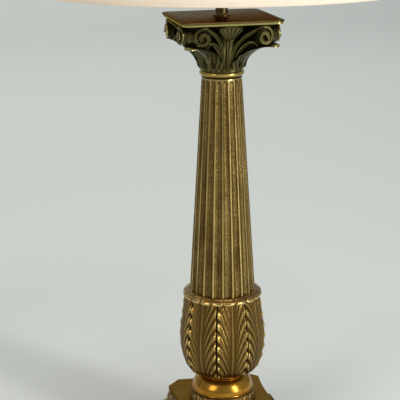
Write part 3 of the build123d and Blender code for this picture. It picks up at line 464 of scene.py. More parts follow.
def block_shape(turn, up):
    turned = turn - math.pi / 4
    half = np.interp(up, block_shares, block_halves)
    reach = clipped_reach(turned, half, block_clip)
    relief = 0.7 * hump(up - 0.66, 0.06) + 0.6 * hump(up - 0.96, 0.04) - 0.5 * hump(up - 0.82, 0.04)
    height = np.interp(up, block_shares, block_heights)
    return reach * np.cos(turned), reach * np.sin(turned), block_low.z + height, relief


plinth_brass = aged_brass("plinth_brass", brown_dark, brown_mid, brown_bright)
block = carved_skin("clipped_block", block_columns, block_rows, block_shape)
wear(block, plinth_brass)
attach(block, "lamp")
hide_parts("base_block")

# Moulding: a mitred brass casting that joins the block to the plate above it. Its flank swells under
# the plate and hollows above the step, and a row of leaves with a rib each is carved all round it.
moulding_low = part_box("base_moulding")[0]
moulding_columns = 480
moulding_rows = 48
moulding_top_half = 0.0535
moulding_shares = (0.00, 0.10, 0.22, 0.34, 0.46, 0.58, 0.70, 0.80, 0.88, 0.95, 1.00)
moulding_heights = (0.0000, 0.0012, 0.0036, 0.0066, 0.0098, 0.0130, 0.0162, 0.0190, 0.0215, 0.0237, 0.0250)
moulding_halves = (0.0720, 0.0702, 0.0664, 0.0628, 0.0602, 0.0586, 0.0578, 0.0575, 0.0569, 0.0556, 0.0535)
moulding_leaves = 9
moulding_clip = 0.0148
moulding_clip_growth = 0.80
moulding_warp = math.radians(38)
moulding_relief = 0.0011
moulding_rib = 0.0007
moulding_groove = 0.0012


def moulding_shape(turn, up):
    height = np.interp(up, moulding_shares, moulding_heights)
    half = np.interp(up, moulding_shares, moulding_halves)
    lean = np.gradient(moulding_halves, moulding_heights)
    lean = np.interp(up, moulding_shares, lean)
    flat, steep = -lean / np.hypot(1, lean), 1 / np.hypot(1, lean)
    along = np.tan(((turn * 4 / math.tau) % 1 * 2 - 1) * moulding_warp) / math.tan(moulding_warp)
    across = np.abs(((along + 1) / 2 * moulding_leaves) % 1 - 0.5) * 2
    leaf_edge = np.clip(up * 1.25 + 0.15, 0, 1) ** 0.5
    lobes = 0.5 + 0.5 * np.cos(up * math.tau * 5 + across * 5)
    inside = np.clip((leaf_edge - across) / 0.18, 0, 1)
    fade = np.clip(up / 0.06, 0, 1) * np.clip((1 - up) / 0.06, 0, 1)
    carving = inside * (moulding_relief * (0.6 + 0.4 * lobes) + moulding_rib * hump(across, 0.13))
    carving = (carving - moulding_groove * hump(1 - across, 0.10) - moulding_relief) * fade
    half = half + carving * steep
    rise = height + carving * flat
    turned = turn - math.pi / 4
    reach = clipped_reach(turned, half, moulding_clip + (half - moulding_top_half) * moulding_clip_growth)
    relief = inside * (0.25 + 0.45 * lobes) + 0.5 * hump(across, 0.12) - 0.9 * hump(1 - across, 0.14)
    relief = np.clip((relief - 0.25) * fade, -1, 1)
    return reach * np.cos(turned), reach * np.sin(turned), moulding_low.z + rise, relief


moulding = carved_skin("carved_moulding", moulding_columns, moulding_rows, moulding_shape)
wear(moulding, plinth_brass)
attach(moulding, "lamp")
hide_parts("base_moulding")

# Pedestal foot: a cast ring under the polished dome, carved with a band of small upright leaves whose
# tips stop short of the dome's bead.
front = math.radians(-90)
foot_low, foot_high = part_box("pedestal_foot")
foot_columns = 504
foot_rows = 32
foot_radius = 0.0380
foot_top_radius = 0.0360
foot_leaves = 21
foot_relief = 0.0010


def foot_shape(turn, up):
    leaf = (turn - front) * foot_leaves / math.tau
    across = np.abs((leaf + 0.5) % 1 - 0.5) * 2
    tip = np.clip((0.94 - up) / 0.30, 0, 1) ** 0.5
    inside = np.clip((tip - across) / 0.20, 0, 1)
    behind = hump(across - 1, 0.22) * np.clip((0.97 - up) / 0.2, 0, 1)
    fade = np.clip(up / 0.05, 0, 1) * np.clip((1 - up) / 0.04, 0, 1)
    carving = foot_relief * (inside * (1 - 0.55 * hump(across, 0.16)) + 0.45 * behind - 1.0) * fade
    radius = foot_radius + (foot_top_radius - foot_radius) * up + carving
    relief = (inside * (0.85 - 0.9 * hump(across, 0.18)) + 0.35 * behind - 0.45) * fade
    height = up * (foot_high.z - foot_low.z)
    return radius * np.cos(turn), radius * np.sin(turn), foot_low.z + height, relief


foot = carved_skin("carved_foot", foot_columns, foot_rows, foot_shape)
wear(foot, plinth_brass)
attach(foot, "lamp")
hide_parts("pedestal_foot")

# Leaf vase: a hollow brass casting wrapped in eight long leaves. Each leaf has a rib up its middle and
# fingers that climb beside the rib, bend outwards and end in curled tips along the parting of two leaves.
vase_low, vase_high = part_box("leaf_vase")
vase_leaves = 8
vase_columns = 576
vase_rows = 164
vase_heights = (0.0, 0.0034, 0.0100, 0.0186, 0.0263, 0.0338, 0.0400, 0.0480, 0.0560, 0.0640, 0.0780, 0.0910)
vase_radii = (0.0262, 0.0376, 0.0419, 0.0447, 0.0463, 0.0471, 0.0473, 0.0472, 0.0464, 0.0449, 0.0433, 0.0412)
finger_pitch = 0.0128
finger_climb = 0.046
finger_bend = 1.9
finger_stagger = 0.15
finger_relief = 0.0017
curl_relief = 0.0016
rib_relief = 0.0006
parting_depth = 0.0020
hollow_scale = 0.0013
crest_scale = 0.0017


def vase_shape(turn, up):
    height = up * (vase_high.z - vase_low.z)
    leaf = (turn - front) * vase_leaves / math.tau
    across = np.abs((leaf + 0.5) % 1 - 0.5) * 2
    side = np.where((leaf + 0.5) % 1 > 0.5, 0.0, finger_stagger)
    fingers = (height + finger_climb * (1 - across) ** finger_bend) / finger_pitch + side
    share = fingers % 1
    ridge = np.sin(np.pi * share**0.8) ** 0.7
    vein = hump(share - 0.50, 0.07)
    spread = np.clip((across - 0.10) / 0.35, 0, 1) * np.clip((1 - across) / 0.04, 0, 1)
    curl = hump(across - 0.90, 0.070) * hump(share - 0.52, 0.19)
    rib = hump(across, 0.055) - 0.7 * hump(across - 0.12, 0.035)
    parting = hump(across - 1.0, 0.030)
    fade = np.clip(up / 0.05, 0, 1) * np.clip((1 - up) / 0.02, 0, 1)
    carving = finger_relief * spread * (ridge - 0.55 - 0.30 * vein)
    carving = carving + curl_relief * curl + rib_relief * rib - parting_depth * parting
    radius = np.interp(height, vase_heights, vase_radii) + carving * fade
    relief = np.where(carving < 0, carving / hollow_scale, carving / crest_scale) * fade
    return radius * np.cos(turn), radius * np.sin(turn), vase_low.z + height, np.clip(relief, -1, 1)


olive_dark = (0.034, 0.020, 0.005, 1)
olive_mid = (0.170, 0.095, 0.022, 1)
olive_bright = (0.640, 0.440, 0.140, 1)
vase_brass = aged_brass("vase_brass", olive_dark, olive_mid, olive_bright, roughness=0.30)
vase = carved_skin("carved_leaf_vase", vase_columns, vase_rows, vase_shape)
wear(vase, vase_brass)
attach(vase, "lamp")
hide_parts("leaf_vase")

# Collar: a cast ring of twenty leaf tips that roll outwards over the top of the vase. The shaft stands
# in it, and each parting of two tips lies under one of the shaft's fillets.
flutes = 20
flute_turn = front + math.radians(14)
collar_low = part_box("leaf_collar")[0]
collar_columns = 480
collar_rows = 26
collar_shares = (0.00, 0.14, 0.26, 0.38, 0.48, 0.58, 0.76, 0.90, 1.00)
collar_radii = (0.0408, 0.0418, 0.0430, 0.0440, 0.0442, 0.0434, 0.0405, 0.0382, 0.0350)
collar_heights = (-0.0008, -0.0005, 0.0002, 0.0013, 0.0028, 0.0043, 0.0056, 0.0072, 0.0076)
tip_pinch = 0.0008
tip_swell = 0.0004
tip_rise = 0.0009


def collar_shape(turn, up):
    tip = (turn - flute_turn) * flutes / math.tau
    across = np.abs((tip + 0.5) % 1 - 0.5) * 2
    parting = hump(1 - across, 0.20)
    lip = hump(up - 0.42, 0.22)
    radius = np.interp(up, collar_shares, collar_radii)
    height = np.interp(up, collar_shares, collar_heights)
    inside = np.clip((1 - up) / 0.15, 0, 1)
    radius = radius - tip_pinch * parting * (0.35 + lip) * inside + tip_swell * hump(across, 0.35) * lip
    height = height + tip_rise * parting * hump(up - 0.34, 0.14)
    relief = 1.1 * hump(up - 0.37, 0.09) * (1 - parting)
    relief = relief + 0.35 * hump(up - 0.56, 0.10) - 0.5 * parting * inside
    return radius * np.cos(turn), radius * np.sin(turn), collar_low.z + height, np.clip(relief, -1, 1)


tip_brass = (0.370, 0.225, 0.068, 1)
tip_bright = (0.860, 0.640, 0.260, 1)
collar_brass = aged_brass("collar_brass", olive_dark, tip_brass, tip_bright, roughness=0.28)
collar = carved_skin("scalloped_collar", collar_columns, collar_rows, collar_shape)
wear(collar, collar_brass)
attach(collar, "lamp")
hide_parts("leaf_collar")

# Shaft: a tapering brass casting with twenty flutes that end in rounded tops. Its flutes are punched all
# over with a fine stipple and darkened along their edges by painted shade, and the narrow fillets
# between them are rubbed smooth and bright.
shaft_low, shaft_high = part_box("fluted_shaft")
shaft_columns = 560
shaft_rows = 130
shaft_foot_radius = 0.03675
shaft_top_radius = 0.0216
flute_half_share = 0.415
flute_foot_depth = 0.0024
flute_top_depth = 0.0017
flute_top_margin = 0.0014
flute_edge = 0.62


def shaft_shape(turn, up):
    rise = 1 - (1 - up) ** 1.6
    height = rise * (shaft_high.z - shaft_low.z)
    radius = shaft_foot_radius + (shaft_top_radius - shaft_foot_radius) * rise
    flute = (turn - flute_turn) * flutes / math.tau
    across = np.abs((flute + 0.5) % 1 - 0.5) / flute_half_share
    reach = flute_half_share * math.tau * radius / flutes
    over = np.clip(height - (shaft_high.z - shaft_low.z - flute_top_margin - reach), 0, None) / reach
    inside = np.clip(1 - across**2 - over**2, 0, 1)
    depth = flute_foot_depth + (flute_top_depth - flute_foot_depth) * rise
    radius = radius - depth * inside**flute_edge
    relief = np.where(inside > 0, -0.55 + 0.35 * inside, 0.9)
    return radius * np.cos(turn), radius * np.sin(turn), shaft_low.z + height, relief


stipple_and_painted_shade = (0.050, 0.026, 0.006, 1)
stipple_mid = (0.440, 0.315, 0.105, 1)
stipple_brown = (0.105, 0.055, 0.012, 1)
stipple_bright = (0.700, 0.520, 0.190, 1)


def stippled_brass():
    """Punched brass: dark grain in every flute, painted shade along its edges, and pale rubbed fillets."""
    finish = Finish("stippled_brass", metallic=1.0)
    place = finish.place()
    relief = finish.stored("relief")
    grain = finish.noise(place, 780.0, detail=3.0, roughness=0.65)
    cloud = finish.noise(place, 30.0, detail=4.0)
    crown = relief.share(0.1, 0.9)
    pits = (1 - grain.share(0.38, 0.62)) * (1 - crown * 0.8)
    stretch = finish.node("ShaderNodeMapping", {}, {"Vector": place, "Scale": (190.0, 190.0, 5.0)})
    streak = finish.noise(stretch, 1.0, detail=2.0)
    tarnish = (cloud * 0.5 + streak * 0.8).share(0.42, 0.86)
    tone = finish.mix(tarnish, stipple_mid, stipple_brown)
    # Painted shade: each flute darkens towards its edges, where it meets the fillets.
    tone = finish.mix((-relief).share(0.32, 0.56) * 0.75, tone, stipple_and_painted_shade)
    tone = finish.mix(pits * 0.85, tone, stipple_and_painted_shade)
    finish.set("Base Color", finish.mix(crown * (0.95 - tarnish * 0.65), tone, stipple_bright))
    finish.set("Roughness", 0.34 + pits * 0.25 - crown * 0.12)
    finish.bump(grain * (1 - crown * 0.8), 0.00045)
    return finish.material


shaft = carved_skin("fluted_shaft_skin", shaft_columns, shaft_rows, shaft_shape)
wear(shaft, stippled_brass())
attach(shaft, "lamp")
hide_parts("fluted_shaft")

# Necking ring and riser: turned brass, the ring under the capital and the tube that lifts the harp
# above it. The fillet under the ring's round is painted dark as its shadow, and the riser is dulled where
# no cloth reaches.
ring_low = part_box("necking_ring")[0]
ring_fillet = 0.0026
ring_blend = 0.0012
ring_bright = (0.560, 0.420, 0.110, 1)
ring_cloud = (0.230, 0.150, 0.040, 1)
ring_painted_shade = (0.045, 0.024, 0.007, 1)
riser_brown = (0.230, 0.160, 0.080, 1)


def ring_brass():
    """Bright brass on the ring's round, and a painted shadow on the fillet under it."""
    finish = Finish("ring_brass", metallic=1.0)
    place = finish.place()
    height = finish.node("ShaderNodeSeparateXYZ", {}, {"Vector": place}, "Z")
    cloud = finish.noise(place, 60.0, detail=4.0)
    fillet_top = ring_low.z + ring_fillet
    # Painted shadow: below the fillet's top the ring turns dark.
    bright = (height + cloud * 0.0010).share(fillet_top, fillet_top + ring_blend)
    tone = finish.mix(cloud.share(0.4, 0.7), ring_bright, ring_cloud)
    finish.set("Base Color", finish.mix(bright, ring_painted_shade, tone))
    finish.set("Roughness", 0.46 - bright * 0.25 + cloud * 0.08)
    finish.bump(cloud, 0.00003)
    return finish.material


wear(nodes["necking_ring"], ring_brass())
wear(nodes["neck_riser"], plated_metal("riser_brass", riser_brown, brown_dark, 0.36))

# Capital: one casting with a bell, four corner leaves, eight scrolls on channelled stalks and four fans,
# stained nearly black-green in its hollows. Each corner's two scrolls are joined by a waisted roll.
capital_low, capital_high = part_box("capital")
bell_columns = 192
bell_rows = 36
bell_root_radius = 0.0226
bell_curve_radius = 0.0746
bell_curve_centre = 0.0972
bell_curve_height = 0.0502
bell_lip_radius = 0.0420
bell_rib_count = 24
bell_rib_relief = 0.0007
leaf_columns = 72
leaf_rows = 56
leaf_reach = 0.0680
leaf_span = 0.0420
leaf_root_height = 0.0037
leaf_rise = 0.0260
leaf_wall = 0.0034
leaf_half_widths = (0.0166, 0.0162, 0.0150, 0.0130, 0.0090, 0.0046)
leaf_width_shares = (0.0, 0.25, 0.5, 0.7, 0.88, 1.0)
leaf_relief = 0.0009
leaf_curl_in = 0.0006
leaf_curl_down = 0.0012
web_half_width = 0.0066
web_gap = 0.0015
eye_place = Vector((0.0324, -0.0525, 0.0407))
face_turn = math.radians(11)
eye_reach = 0.0114
eye_shrink = 0.84
eye_quarters = 5.7
eye_steps = 9
disc_radius = 0.0084
disc_thickness = 0.0080
disc_depth = 0.0046
band_width = 0.0031
band_depth = 0.0056
band_channel = 0.45
scroll_columns = 28
scroll_rows = 150
roll_reach = 0.0562
roll_radius = 0.0096
roll_half_width = 0.0078
roll_waist = 0.0017
petals = 5
petal_halves = ((0.0, 0.0007), (0.3, 0.0012), (0.6, 0.0020), (0.85, 0.0024), (0.96, 0.0015), (1.0, 0.0004))
petal_spread = 15
petal_length = 0.0225
fan_root = Vector((0, -0.0315, 0.0325))
fan_lean = 0.56


def smooth_line(stations, count):
    """An even run of places along a smooth curve through the stations. Each station is a row of numbers:
    a place, the way its front looks and its half width."""
    stations = np.array(stations, dtype=float)
    steps = np.linalg.norm(np.diff(stations[:, :3], axis=0), axis=1)
    along = np.concatenate(([0], np.cumsum(steps)))
    slopes = np.gradient(stations, along, axis=0)
    at = np.linspace(0, along[-1], count)
    left = np.clip(np.searchsorted(along, at, side="right") - 1, 0, len(along) - 2)
    gap = (along[left + 1] - along[left])[:, None]
    part = (at - along[left])[:, None] / gap
    ease = part**2 * (3 - 2 * part)
    start, end = stations[left], stations[left + 1]
    bow = part * (1 - part) ** 2 * gap * slopes[left] - part**2 * (1 - part) * gap * slopes[left + 1]
    return start + (end - start) * ease + bow


def ribbon(name, stations, columns, rows, depth, channel, mirrored, corner):
    """A bar swept along stations, with a channel down its front between two raised rims. It is mirrored
    where asked, then turned to its side of the capital."""
    line = smooth_line(stations, rows + 1)
    place, looks, half_width = line[:, :3], line[:, 3:6], line[:, 6]
    run = np.gradient(place, axis=0)
    run = run / np.linalg.norm(run, axis=1)[:, None]
    across = np.cross(run, looks)
    across = across / np.linalg.norm(across, axis=1)[:, None]
    out = np.cross(across, run)

    def bar_shape(turn, up):
        row = np.rint(up * rows).astype(int)
        side = np.sign(np.cos(turn)) * np.abs(np.cos(turn)) ** 0.55
        face = np.sign(np.sin(turn)) * np.abs(np.sin(turn)) ** 0.55
        groove = np.where(face > 0, (1 - side**2) ** 1.5, 0)
        height = depth * (face - 1) / 2 - channel * groove * half_width[row]
        spot = place[row] + across[row] * (side * half_width[row])[:, None] + out[row] * height[:, None]
        x = spot[:, 0] * (-1 if mirrored else 1)
        turned_x = x * math.cos(corner) - spot[:, 1] * math.sin(corner)
        turned_y = x * math.sin(corner) + spot[:, 1] * math.cos(corner)
        relief = np.where(face > 0, 0.55 - 1.05 * groove, 0.15 + 0.65 * face)
        return turned_x, turned_y, capital_low.z + spot[:, 2], relief

    return carved_skin(name, columns, rows, bar_shape)


def scroll_stations():
    """A stalk that climbs the bell from the neck, then winds inwards round the scroll's eye."""
    stations = [
        (0.0028, -0.0238, 0.0010, 0.00, -1.00, -0.05, 0.0012),
        (0.0042, -0.0256, 0.0120, 0.02, -1.00, -0.10, 0.0016),
        (0.0074, -0.0308, 0.0265, 0.05, -0.97, -0.20, 0.0019),
        (0.0118, -0.0370, 0.0345, 0.08, -0.92, -0.32, 0.0020),
        (0.0165, -0.0432, 0.0402, 0.12, -0.92, -0.30, 0.0020),
        (0.0225, -0.0482, 0.0455, 0.16, -0.95, -0.20, 0.0018),
    ]
    for step in range(round(eye_quarters * eye_steps) + 1):
        quarter = step / eye_steps
        half_width = band_width / 2 * (0.85 + 0.50 * quarter / eye_quarters)
        reach = eye_reach * eye_shrink**quarter - half_width
        angle = math.radians(98) - quarter * math.pi / 2
        across = reach * math.cos(angle)
        proud = 0.0014 + 0.0022 * (quarter / eye_quarters) ** 2
        stations.append(
            (
                eye_place.x + across * math.cos(face_turn) + proud * math.sin(face_turn),
                eye_place.y + across * math.sin(face_turn) - proud * math.cos(face_turn),
                eye_place.z + reach * math.sin(angle),
                math.sin(face_turn),
                -math.cos(face_turn),
                0.0,
                half_width,
            )
        )
    return stations


def leaf_rib_stations():
    """The small pointed leaf that parts from the stalk and curls up under the scroll."""
    return (
        (0.0080, -0.0280, 0.0160, 0.10, -1.00, -0.10, 0.0008),
        (0.0112, -0.0318, 0.0225, 0.12, -0.95, -0.25, 0.0017),
        (0.0155, -0.0372, 0.0290, 0.15, -0.90, -0.35, 0.0021),
        (0.0200, -0.0425, 0.0325, 0.18, -0.85, -0.45, 0.0018),
        (0.0240, -0.0460, 0.0330, 0.20, -0.90, -0.20, 0.0011),
        (0.0262, -0.0478, 0.0312, 0.25, -0.95, 0.10, 0.0004),
    )


stem_stations = (
    (0.0, -0.0240, 0.0010, 0.0, -1.0, -0.05, 0.0006),
    (0.0, -0.0262, 0.0120, 0.0, -1.0, -0.10, 0.0011),
    (0.0, -0.0290, 0.0220, 0.0, -1.0, -0.20, 0.0017),
    (0.0, -0.0330, 0.0330, 0.0, -1.0, -0.30, 0.0026),
)


def petal_stations(lean):
    """One petal of the fan, at this lean from upright, from the tie to its rounded tip."""
    rows = []
    for share, half in petal_halves:
        along = share * petal_length
        rows.append(
            (
                fan_root.x + along * math.sin(lean),
                fan_root.y - along * math.cos(lean) * math.sin(fan_lean),
                fan_root.z + along * math.cos(lean) * math.cos(fan_lean),
                0.0,
                -1.0,
                -0.35,
                half,
            )
        )
    return rows


def bell_shape(turn, up):
    height = up * (capital_high.z - capital_low.z)
    curve = np.clip(height, 0, bell_curve_height)
    radius = bell_curve_centre - np.sqrt(bell_curve_radius**2 - curve**2)
    ribs = np.abs(((turn - front) * bell_rib_count / math.tau) % 1 - 0.5) * 2
    fade = np.clip(up / 0.05, 0, 1) * np.clip((0.75 - up) / 0.3, 0, 1)
    radius = np.minimum(radius, bell_lip_radius) + bell_rib_relief * (hump(ribs, 0.45) - 0.5) * fade
    relief = (hump(ribs, 0.35) * 1.1 - 0.55) * fade - 0.85 * np.clip((up - 0.5) / 0.3, 0, 1)
    return radius * np.cos(turn), radius * np.sin(turn), capital_low.z + height, relief


def corner_leaf_shape(corner):
    def leaf_shape(turn, up):
        bend = up * math.radians(90)
        side = np.sign(np.cos(turn)) * np.abs(np.cos(turn)) ** 0.8
        face = np.sin(turn)
        half_width = np.interp(up, leaf_width_shares, leaf_half_widths)
        lobes = 1 - 0.07 * np.abs(np.sin(up * math.pi * 5.5)) * np.clip(up / 0.15, 0, 1)
        out = leaf_reach - leaf_span * np.cos(bend)
        rise = leaf_root_height + leaf_rise * np.sin(bend)
        curl = np.clip((up - 0.86) / 0.14, 0, 1)
        out = out - leaf_curl_in * curl**2
        rise = rise - leaf_curl_down * curl**2
        across = half_width * side * lobes
        sag = out - np.sqrt(np.maximum(out**2 - across**2 * (1 - 0.6 * up), 0.0001))
        veins = hump(((np.abs(side) * 1.1 - up * 1.5) * 3.2) % 1 - 0.5, 0.20)
        veins = veins * np.clip(np.abs(side) / 0.2, 0, 1)
        carving = leaf_relief * (hump(side, 0.16) * 1.2 + veins * 0.9 - 0.8)
        depth = np.where(face > 0, carving * np.clip(face * 2, 0, 1), leaf_wall * face)
        reach = out - sag + depth * np.cos(bend)
        height = rise - depth * np.sin(bend)
        x = reach * math.cos(corner) - across * math.sin(corner)
        y = reach * math.sin(corner) + across * math.cos(corner)
        relief = np.where(face > 0, hump(side, 0.13) * 0.9 + veins - 0.65, -0.6) + 1.2 * curl
        return x, y, capital_low.z + height, np.clip(relief, -1, 1)

    return leaf_shape


def corner_web_shape(corner):
    """The metal that fills the corner between the bell, the leaf and the scrolls."""

    def web_shape(turn, up):
        bend = up * math.radians(90)
        low = leaf_root_height + leaf_rise * np.sin(bend) + web_gap
        high = np.maximum(low, capital_high.z - capital_low.z - 0.0003)
        reach = np.minimum(leaf_reach - leaf_span * np.cos(bend), roll_reach + 0.0030)
        side = np.sign(np.cos(turn)) * np.abs(np.cos(turn)) ** 0.4 * web_half_width
        rise = np.where(np.sin(turn) > 0, high, low)
        x = reach * math.cos(corner) - side * math.sin(corner)
        y = reach * math.sin(corner) + side * math.cos(corner)
        return x, y, capital_low.z + rise, np.full(len(up), -0.9)

    return web_shape


def corner_roll_shape(corner):
    def roll_shape(turn, up):
        across = (up - 0.5) * 2
        waist = roll_waist * (1 - across**2) - 0.0007 * hump(across, 0.18)
        radius = (roll_radius - waist) * np.clip((1 - np.abs(across)) / 0.04, 0.55, 1)
        reach = roll_reach + radius * np.cos(turn)
        side = across * roll_half_width
        x = reach * math.cos(corner) - side * math.sin(corner)
        y = reach * math.sin(corner) + side * math.cos(corner)
        relief = 0.55 * hump(across, 0.16) + 0.5 * hump(np.abs(across) - 0.9, 0.12) - 0.45
        return x, y, capital_low.z + eye_place.z + radius * np.sin(turn), relief

    return roll_shape


def eye_disc_shape(mirrored, corner):
    """The solid behind the winding band, which closes the scroll."""

    def disc_shape(turn, up):
        depth = (up - 0.5) * disc_thickness - disc_depth
        radius = disc_radius * np.clip(np.minimum(up, 1 - up) / 0.03, 0.02, 1)
        across = radius * np.cos(turn)
        x = eye_place.x + across * math.cos(face_turn) + depth * math.sin(face_turn)
        y = eye_place.y + across * math.sin(face_turn) - depth * math.cos(face_turn)
        x = x * (-1 if mirrored else 1)
        turned_x = x * math.cos(corner) - y * math.sin(corner)
        turned_y = x * math.sin(corner) + y * math.cos(corner)
        relief = np.full(len(up), -1.0)
        return turned_x, turned_y, capital_low.z + eye_place.z + radius * np.sin(turn), relief

    return disc_shape


def join(pieces, name):
    """Makes one object of several."""
    choose(*pieces)
    bpy.ops.object.join()
    bpy.context.object.name = name
    return bpy.context.object


green_dark = (0.024, 0.022, 0.008, 1)
green_mid = (0.118, 0.100, 0.034, 1)
green_bright = (0.520, 0.460, 0.200, 1)
castings = [carved_skin("bell", bell_columns, bell_rows, bell_shape)]
for quarter in range(4):
    side_turn = quarter * math.pi / 2
    corner_turn = front + math.pi / 4 + side_turn
    castings.append(carved_skin("leaf", leaf_columns, leaf_rows, corner_leaf_shape(corner_turn)))
    castings.append(carved_skin("roll", 40, 24, corner_roll_shape(corner_turn)))
    castings.append(carved_skin("web", 24, 24, corner_web_shape(corner_turn)))
    castings.append(ribbon("stem", stem_stations, 16, 20, 0.0030, 0.4, False, side_turn))
    for mirrored in (False, True):
        scroll = (scroll_stations(), scroll_columns, scroll_rows, band_depth, band_channel)
        castings.append(ribbon("scroll", *scroll, mirrored, side_turn))
        castings.append(carved_skin("eye_disc", 40, 12, eye_disc_shape(mirrored, side_turn)))
        castings.append(ribbon("leaf_rib", leaf_rib_stations(), 20, 30, 0.0040, 0.5, mirrored, side_turn))
    for petal in range(petals):
        lean = math.radians(petal_spread) * (petal - (petals - 1) / 2)
        castings.append(ribbon("petal", petal_stations(lean), 16, 16, 0.0030, 0.35, False, side_turn))
    tie = ((-0.0036, -0.0337, 0.0345), (0.0, -0.0345, 0.0342), (0.0036, -0.0337, 0.0345))
    tie = [(*place, 0.0, -1.0, -0.3, 0.0011) for place in tie]
    castings.append(ribbon("tie", tie, 16, 10, 0.0036, 0.0, False, side_turn))
capital_brass = aged_brass("capital_brass", green_dark, green_mid, green_bright, roughness=0.30)
capital = join(castings, "carved_capital")
wear(capital, capital_brass)
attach(capital, "lamp")
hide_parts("capital")

# Abacus: a thin square brass plate with rounded corners on top of the capital. Its lip is as brown as
# its top; the band set back under the lip, and more faintly a line on the lip, carry a painted highlight.
abacus_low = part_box("abacus")[0]
abacus_columns = 480
abacus_rows = 28
abacus_corner = 0.0085
abacus_shares = (0.0, 0.14, 0.20, 0.50, 0.58, 0.68, 0.80, 0.90, 1.0)
abacus_heights = (0.0, 0.00005, 0.0003, 0.0021, 0.0023, 0.0027, 0.0035, 0.0040, 0.0042)
abacus_halves = (0.0520, 0.0530, 0.0533, 0.0533, 0.0540, 0.0544, 0.0545, 0.0541, 0.0532)


def abacus_shape(turn, up):
    half = np.interp(up, abacus_shares, abacus_halves)
    reach = square_reach(turn - math.pi / 4, half, abacus_corner - (max(abacus_halves) - half))
    # Painted highlight: the band under the lip, and more faintly a line on the lip, take the crest colour.
    relief = 0.95 * np.clip((up - 0.16) / 0.04, 0, 1) * np.clip((0.56 - up) / 0.04, 0, 1)
    relief = relief + 0.35 * hump(up - 0.80, 0.08)
    height = np.interp(up, abacus_shares, abacus_heights)
    turned = turn - math.pi / 4
    return reach * np.cos(turned), reach * np.sin(turned), abacus_low.z + height, relief


lip_dark = (0.045, 0.022, 0.007, 1)
lip_brown = (0.115, 0.068, 0.026, 1)
lip_painted_highlight = (0.620, 0.540, 0.190, 1)
lip_skin = (0.46, 0.36, 0.22, 1)
abacus_brass = aged_brass("abacus_brass", lip_dark, lip_brown, lip_painted_highlight, 0.27, lip_skin)
abacus = carved_skin("rolled_abacus", abacus_columns, abacus_rows, abacus_shape)
wear(abacus, abacus_brass)
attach(abacus, "lamp")
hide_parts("abacus")

# Harp: a nickel-plated steel wire bow in a stamped saddle, with two sliding sleeves that lock its feet.
nickel_plate = plated_metal("nickel_plate", (0.560, 0.530, 0.460, 1), (0.360, 0.330, 0.270, 1), 0.26)
for name in ("harp", "harp_saddle", "harp_sleeve_left", "harp_sleeve_right"):
    wear(nodes[name], nickel_plate)

# Socket: a spun brass cap and shell round a card liner, with a threaded aluminium cup for the bulb and a
# brass contact at its bottom. A brown moulded knob on its side turns the switch.
plastic_brown = (0.030, 0.012, 0.006, 1)
card_dark = (0.20, 0.15, 0.10, 1)
card_pale = (0.33, 0.26, 0.18, 1)
socket_brass = plated_metal("socket_brass", (0.740, 0.560, 0.240, 1), (0.460, 0.320, 0.110, 1), 0.25)
bare_aluminium = plated_metal("bare_aluminium", (0.620, 0.620, 0.610, 1), (0.440, 0.440, 0.440, 1), 0.34)
for name in ("socket_cap", "socket_shell", "centre_contact"):
    wear(nodes[name], socket_brass)
wear(nodes["screw_shell"], bare_aluminium)
wear(nodes["bulb_base"], bare_aluminium)
wear(nodes["switch_knob"], moulded_plastic("brown_plastic", plastic_brown, 0.32))


def pressed_card():
    """Grey-brown insulating card with visible fibres."""
    finish = Finish("pressed_card", roughness=0.9)
    fibres = finish.noise(finish.place(), 700.0, detail=5.0)
    finish.set("Base Color", finish.mix(fibres.share(0.3, 0.7), card_dark, card_pale))
    finish.bump(fibres, 0.0002)
    return finish.material


wear(nodes["socket_liner"], pressed_card())

# Bulb: a blown glass globe, frosted inside, cemented into its screw base.


def frosted_glass():
    """Frosted white glass with a faint unevenness in the frost."""
    finish = Finish("frosted_glass", coat_weight=0.6, transmission_weight=0.35)
    finish.set("IOR", 1.45)
    frost = finish.noise(finish.place(), 120.0, detail=4.0)
    finish.set("Base Color", finish.mix(frost, (0.80, 0.80, 0.77, 1), (0.88, 0.87, 0.84, 1)))
    finish.set("Roughness", 0.45 + frost * 0.15)
    finish.bump(frost, 0.00004)
    return finish.material


wear(nodes["bulb_glass"], frosted_glass())

# Spider and hoop: steel wire with white enamel, which carries the shade from the top of the harp. The
# bush and the finial that clamp it are turned brass.


def white_enamel():
    """White stove enamel on wire, slightly uneven."""
    finish = Finish("white_enamel", coat_weight=0.2)
    skin = finish.noise(finish.place(), 300.0, detail=3.0)
    finish.set("Base Color", finish.mix(skin, (0.70, 0.68, 0.63, 1), (0.80, 0.78, 0.73, 1)))
    finish.set("Roughness", 0.34 + skin * 0.12)
    finish.bump(skin, 0.00004)
    return finish.material


enamel = white_enamel()
wear(nodes["shade_spider"], enamel)
wear(nodes["shade_foot_hoop"], enamel)
wear(nodes["finial_bush"], polished_brass)
wear(nodes["finial"], polished_brass)

# Shade: a cone of slubbed cream cloth on a clear stiffener. The cloth is one layer, and a narrow rolled
# tape of the same cloth binds each edge.
cloth_cream = (0.93, 0.785, 0.625, 1)
cloth_wall = 0.0012
cover_low, cover_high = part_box("shade_cover")
cover_top_edge = 0.1800
cover_foot_radius = cover_high.x - cloth_wall
cover_top_radius = cover_top_edge - cloth_wall
cover_segments = 256
cover_slope = (cover_foot_radius - cover_top_radius) / (cover_high.z - cover_low.z)
tape_wall = 0.0007
tape_columns = 256
tape_rows = 24


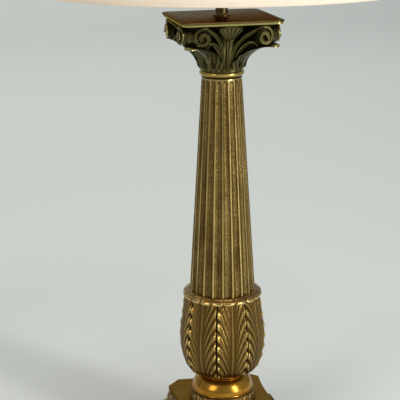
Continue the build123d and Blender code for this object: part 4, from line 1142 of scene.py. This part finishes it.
def cloth(name, tint):
    """Plain weave with thick and thin weft threads, which run level round the shade."""
    finish = Finish(name, roughness=0.92, sheen_weight=0.25)
    level = finish.node("ShaderNodeMapping", {}, {"Vector": finish.place(), "Scale": (22.0, 22.0, 1500.0)})
    upright = finish.node("ShaderNodeMapping", {}, {"Vector": finish.place(), "Scale": (900.0, 900.0, 30.0)})
    weft = finish.noise(level, 1.0, detail=3.0)
    warp = finish.noise(upright, 1.0, detail=2.0)
    weave = weft * 0.7 + warp * 0.3
    finish.set("Base Color", finish.mix(weave.share(0.3, 0.7), tuple(part * 0.86 for part in tint), tint))
    finish.bump(weave, 0.00016)
    return finish.material


def cone_band(name, foot_radius, top_radius, foot_height, top_height):
    """An open band of cloth round the lamp's axis."""
    bpy.ops.object.select_all(action="DESELECT")
    bpy.ops.mesh.primitive_cone_add(
        vertices=cover_segments,
        radius1=foot_radius,
        radius2=top_radius,
        depth=top_height - foot_height,
        end_fill_type="NOTHING",
        location=(0, 0, (foot_height + top_height) / 2),
    )
    band = bpy.context.object
    band.name = name
    bpy.ops.object.transform_apply(location=True, rotation=True, scale=True)
    bpy.ops.object.mode_set(mode="EDIT")
    bpy.ops.mesh.select_all(action="SELECT")
    bpy.ops.mesh.normals_make_consistent(inside=False)
    bpy.ops.object.mode_set(mode="OBJECT")
    choose(band)
    bpy.ops.object.shade_smooth()
    return band


def finish_solid(piece, thickness, offset):
    """Gives a band of cloth its real thickness."""
    choose(piece)
    bpy.ops.object.modifier_add(type="SOLIDIFY")
    solid = piece.modifiers[-1]
    solid.thickness = thickness
    solid.offset = offset
    bpy.ops.object.modifier_apply(modifier=solid.name)
    bpy.ops.object.shade_smooth_by_angle(angle=sharp_edge)


cover = cone_band("shade_cloth", cover_foot_radius, cover_top_radius, cover_low.z, cover_high.z)
finish_solid(cover, cloth_wall, 1)
cover_cloth = cloth("cream_cloth", cloth_cream)
wear(cover, cover_cloth)
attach(cover, "shade")
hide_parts("shade_cover")

# Hems: a tape of the same cloth, folded over each edge of the shade and glued down.


def hem_shape(low, high):
    """A flattened roll of tape round an edge of the cover, as high as the hem."""
    middle = (low.z + high.z) / 2
    half_height = (high.z - low.z) / 2
    half_wall = cloth_wall / 2 + tape_wall

    def roll_shape(turn, up):
        rise = np.sin(up * math.tau)
        out = np.cos(up * math.tau)
        height = half_height * np.sign(rise) * np.abs(rise) ** 0.6
        spot = middle + height
        radius = cover_foot_radius + cloth_wall / 2 - cover_slope * (spot - cover_low.z)
        radius = radius + half_wall * np.sign(out) * np.abs(out) ** 0.5
        return radius * np.cos(turn), radius * np.sin(turn), spot, np.zeros(len(up))

    return roll_shape


for node in ("shade_foot_hem", "shade_top_hem"):
    hem = carved_skin(node + "_tape", tape_columns, tape_rows, hem_shape(*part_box(node)))
    wear(hem, cover_cloth)
    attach(hem, "shade")
    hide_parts(node)
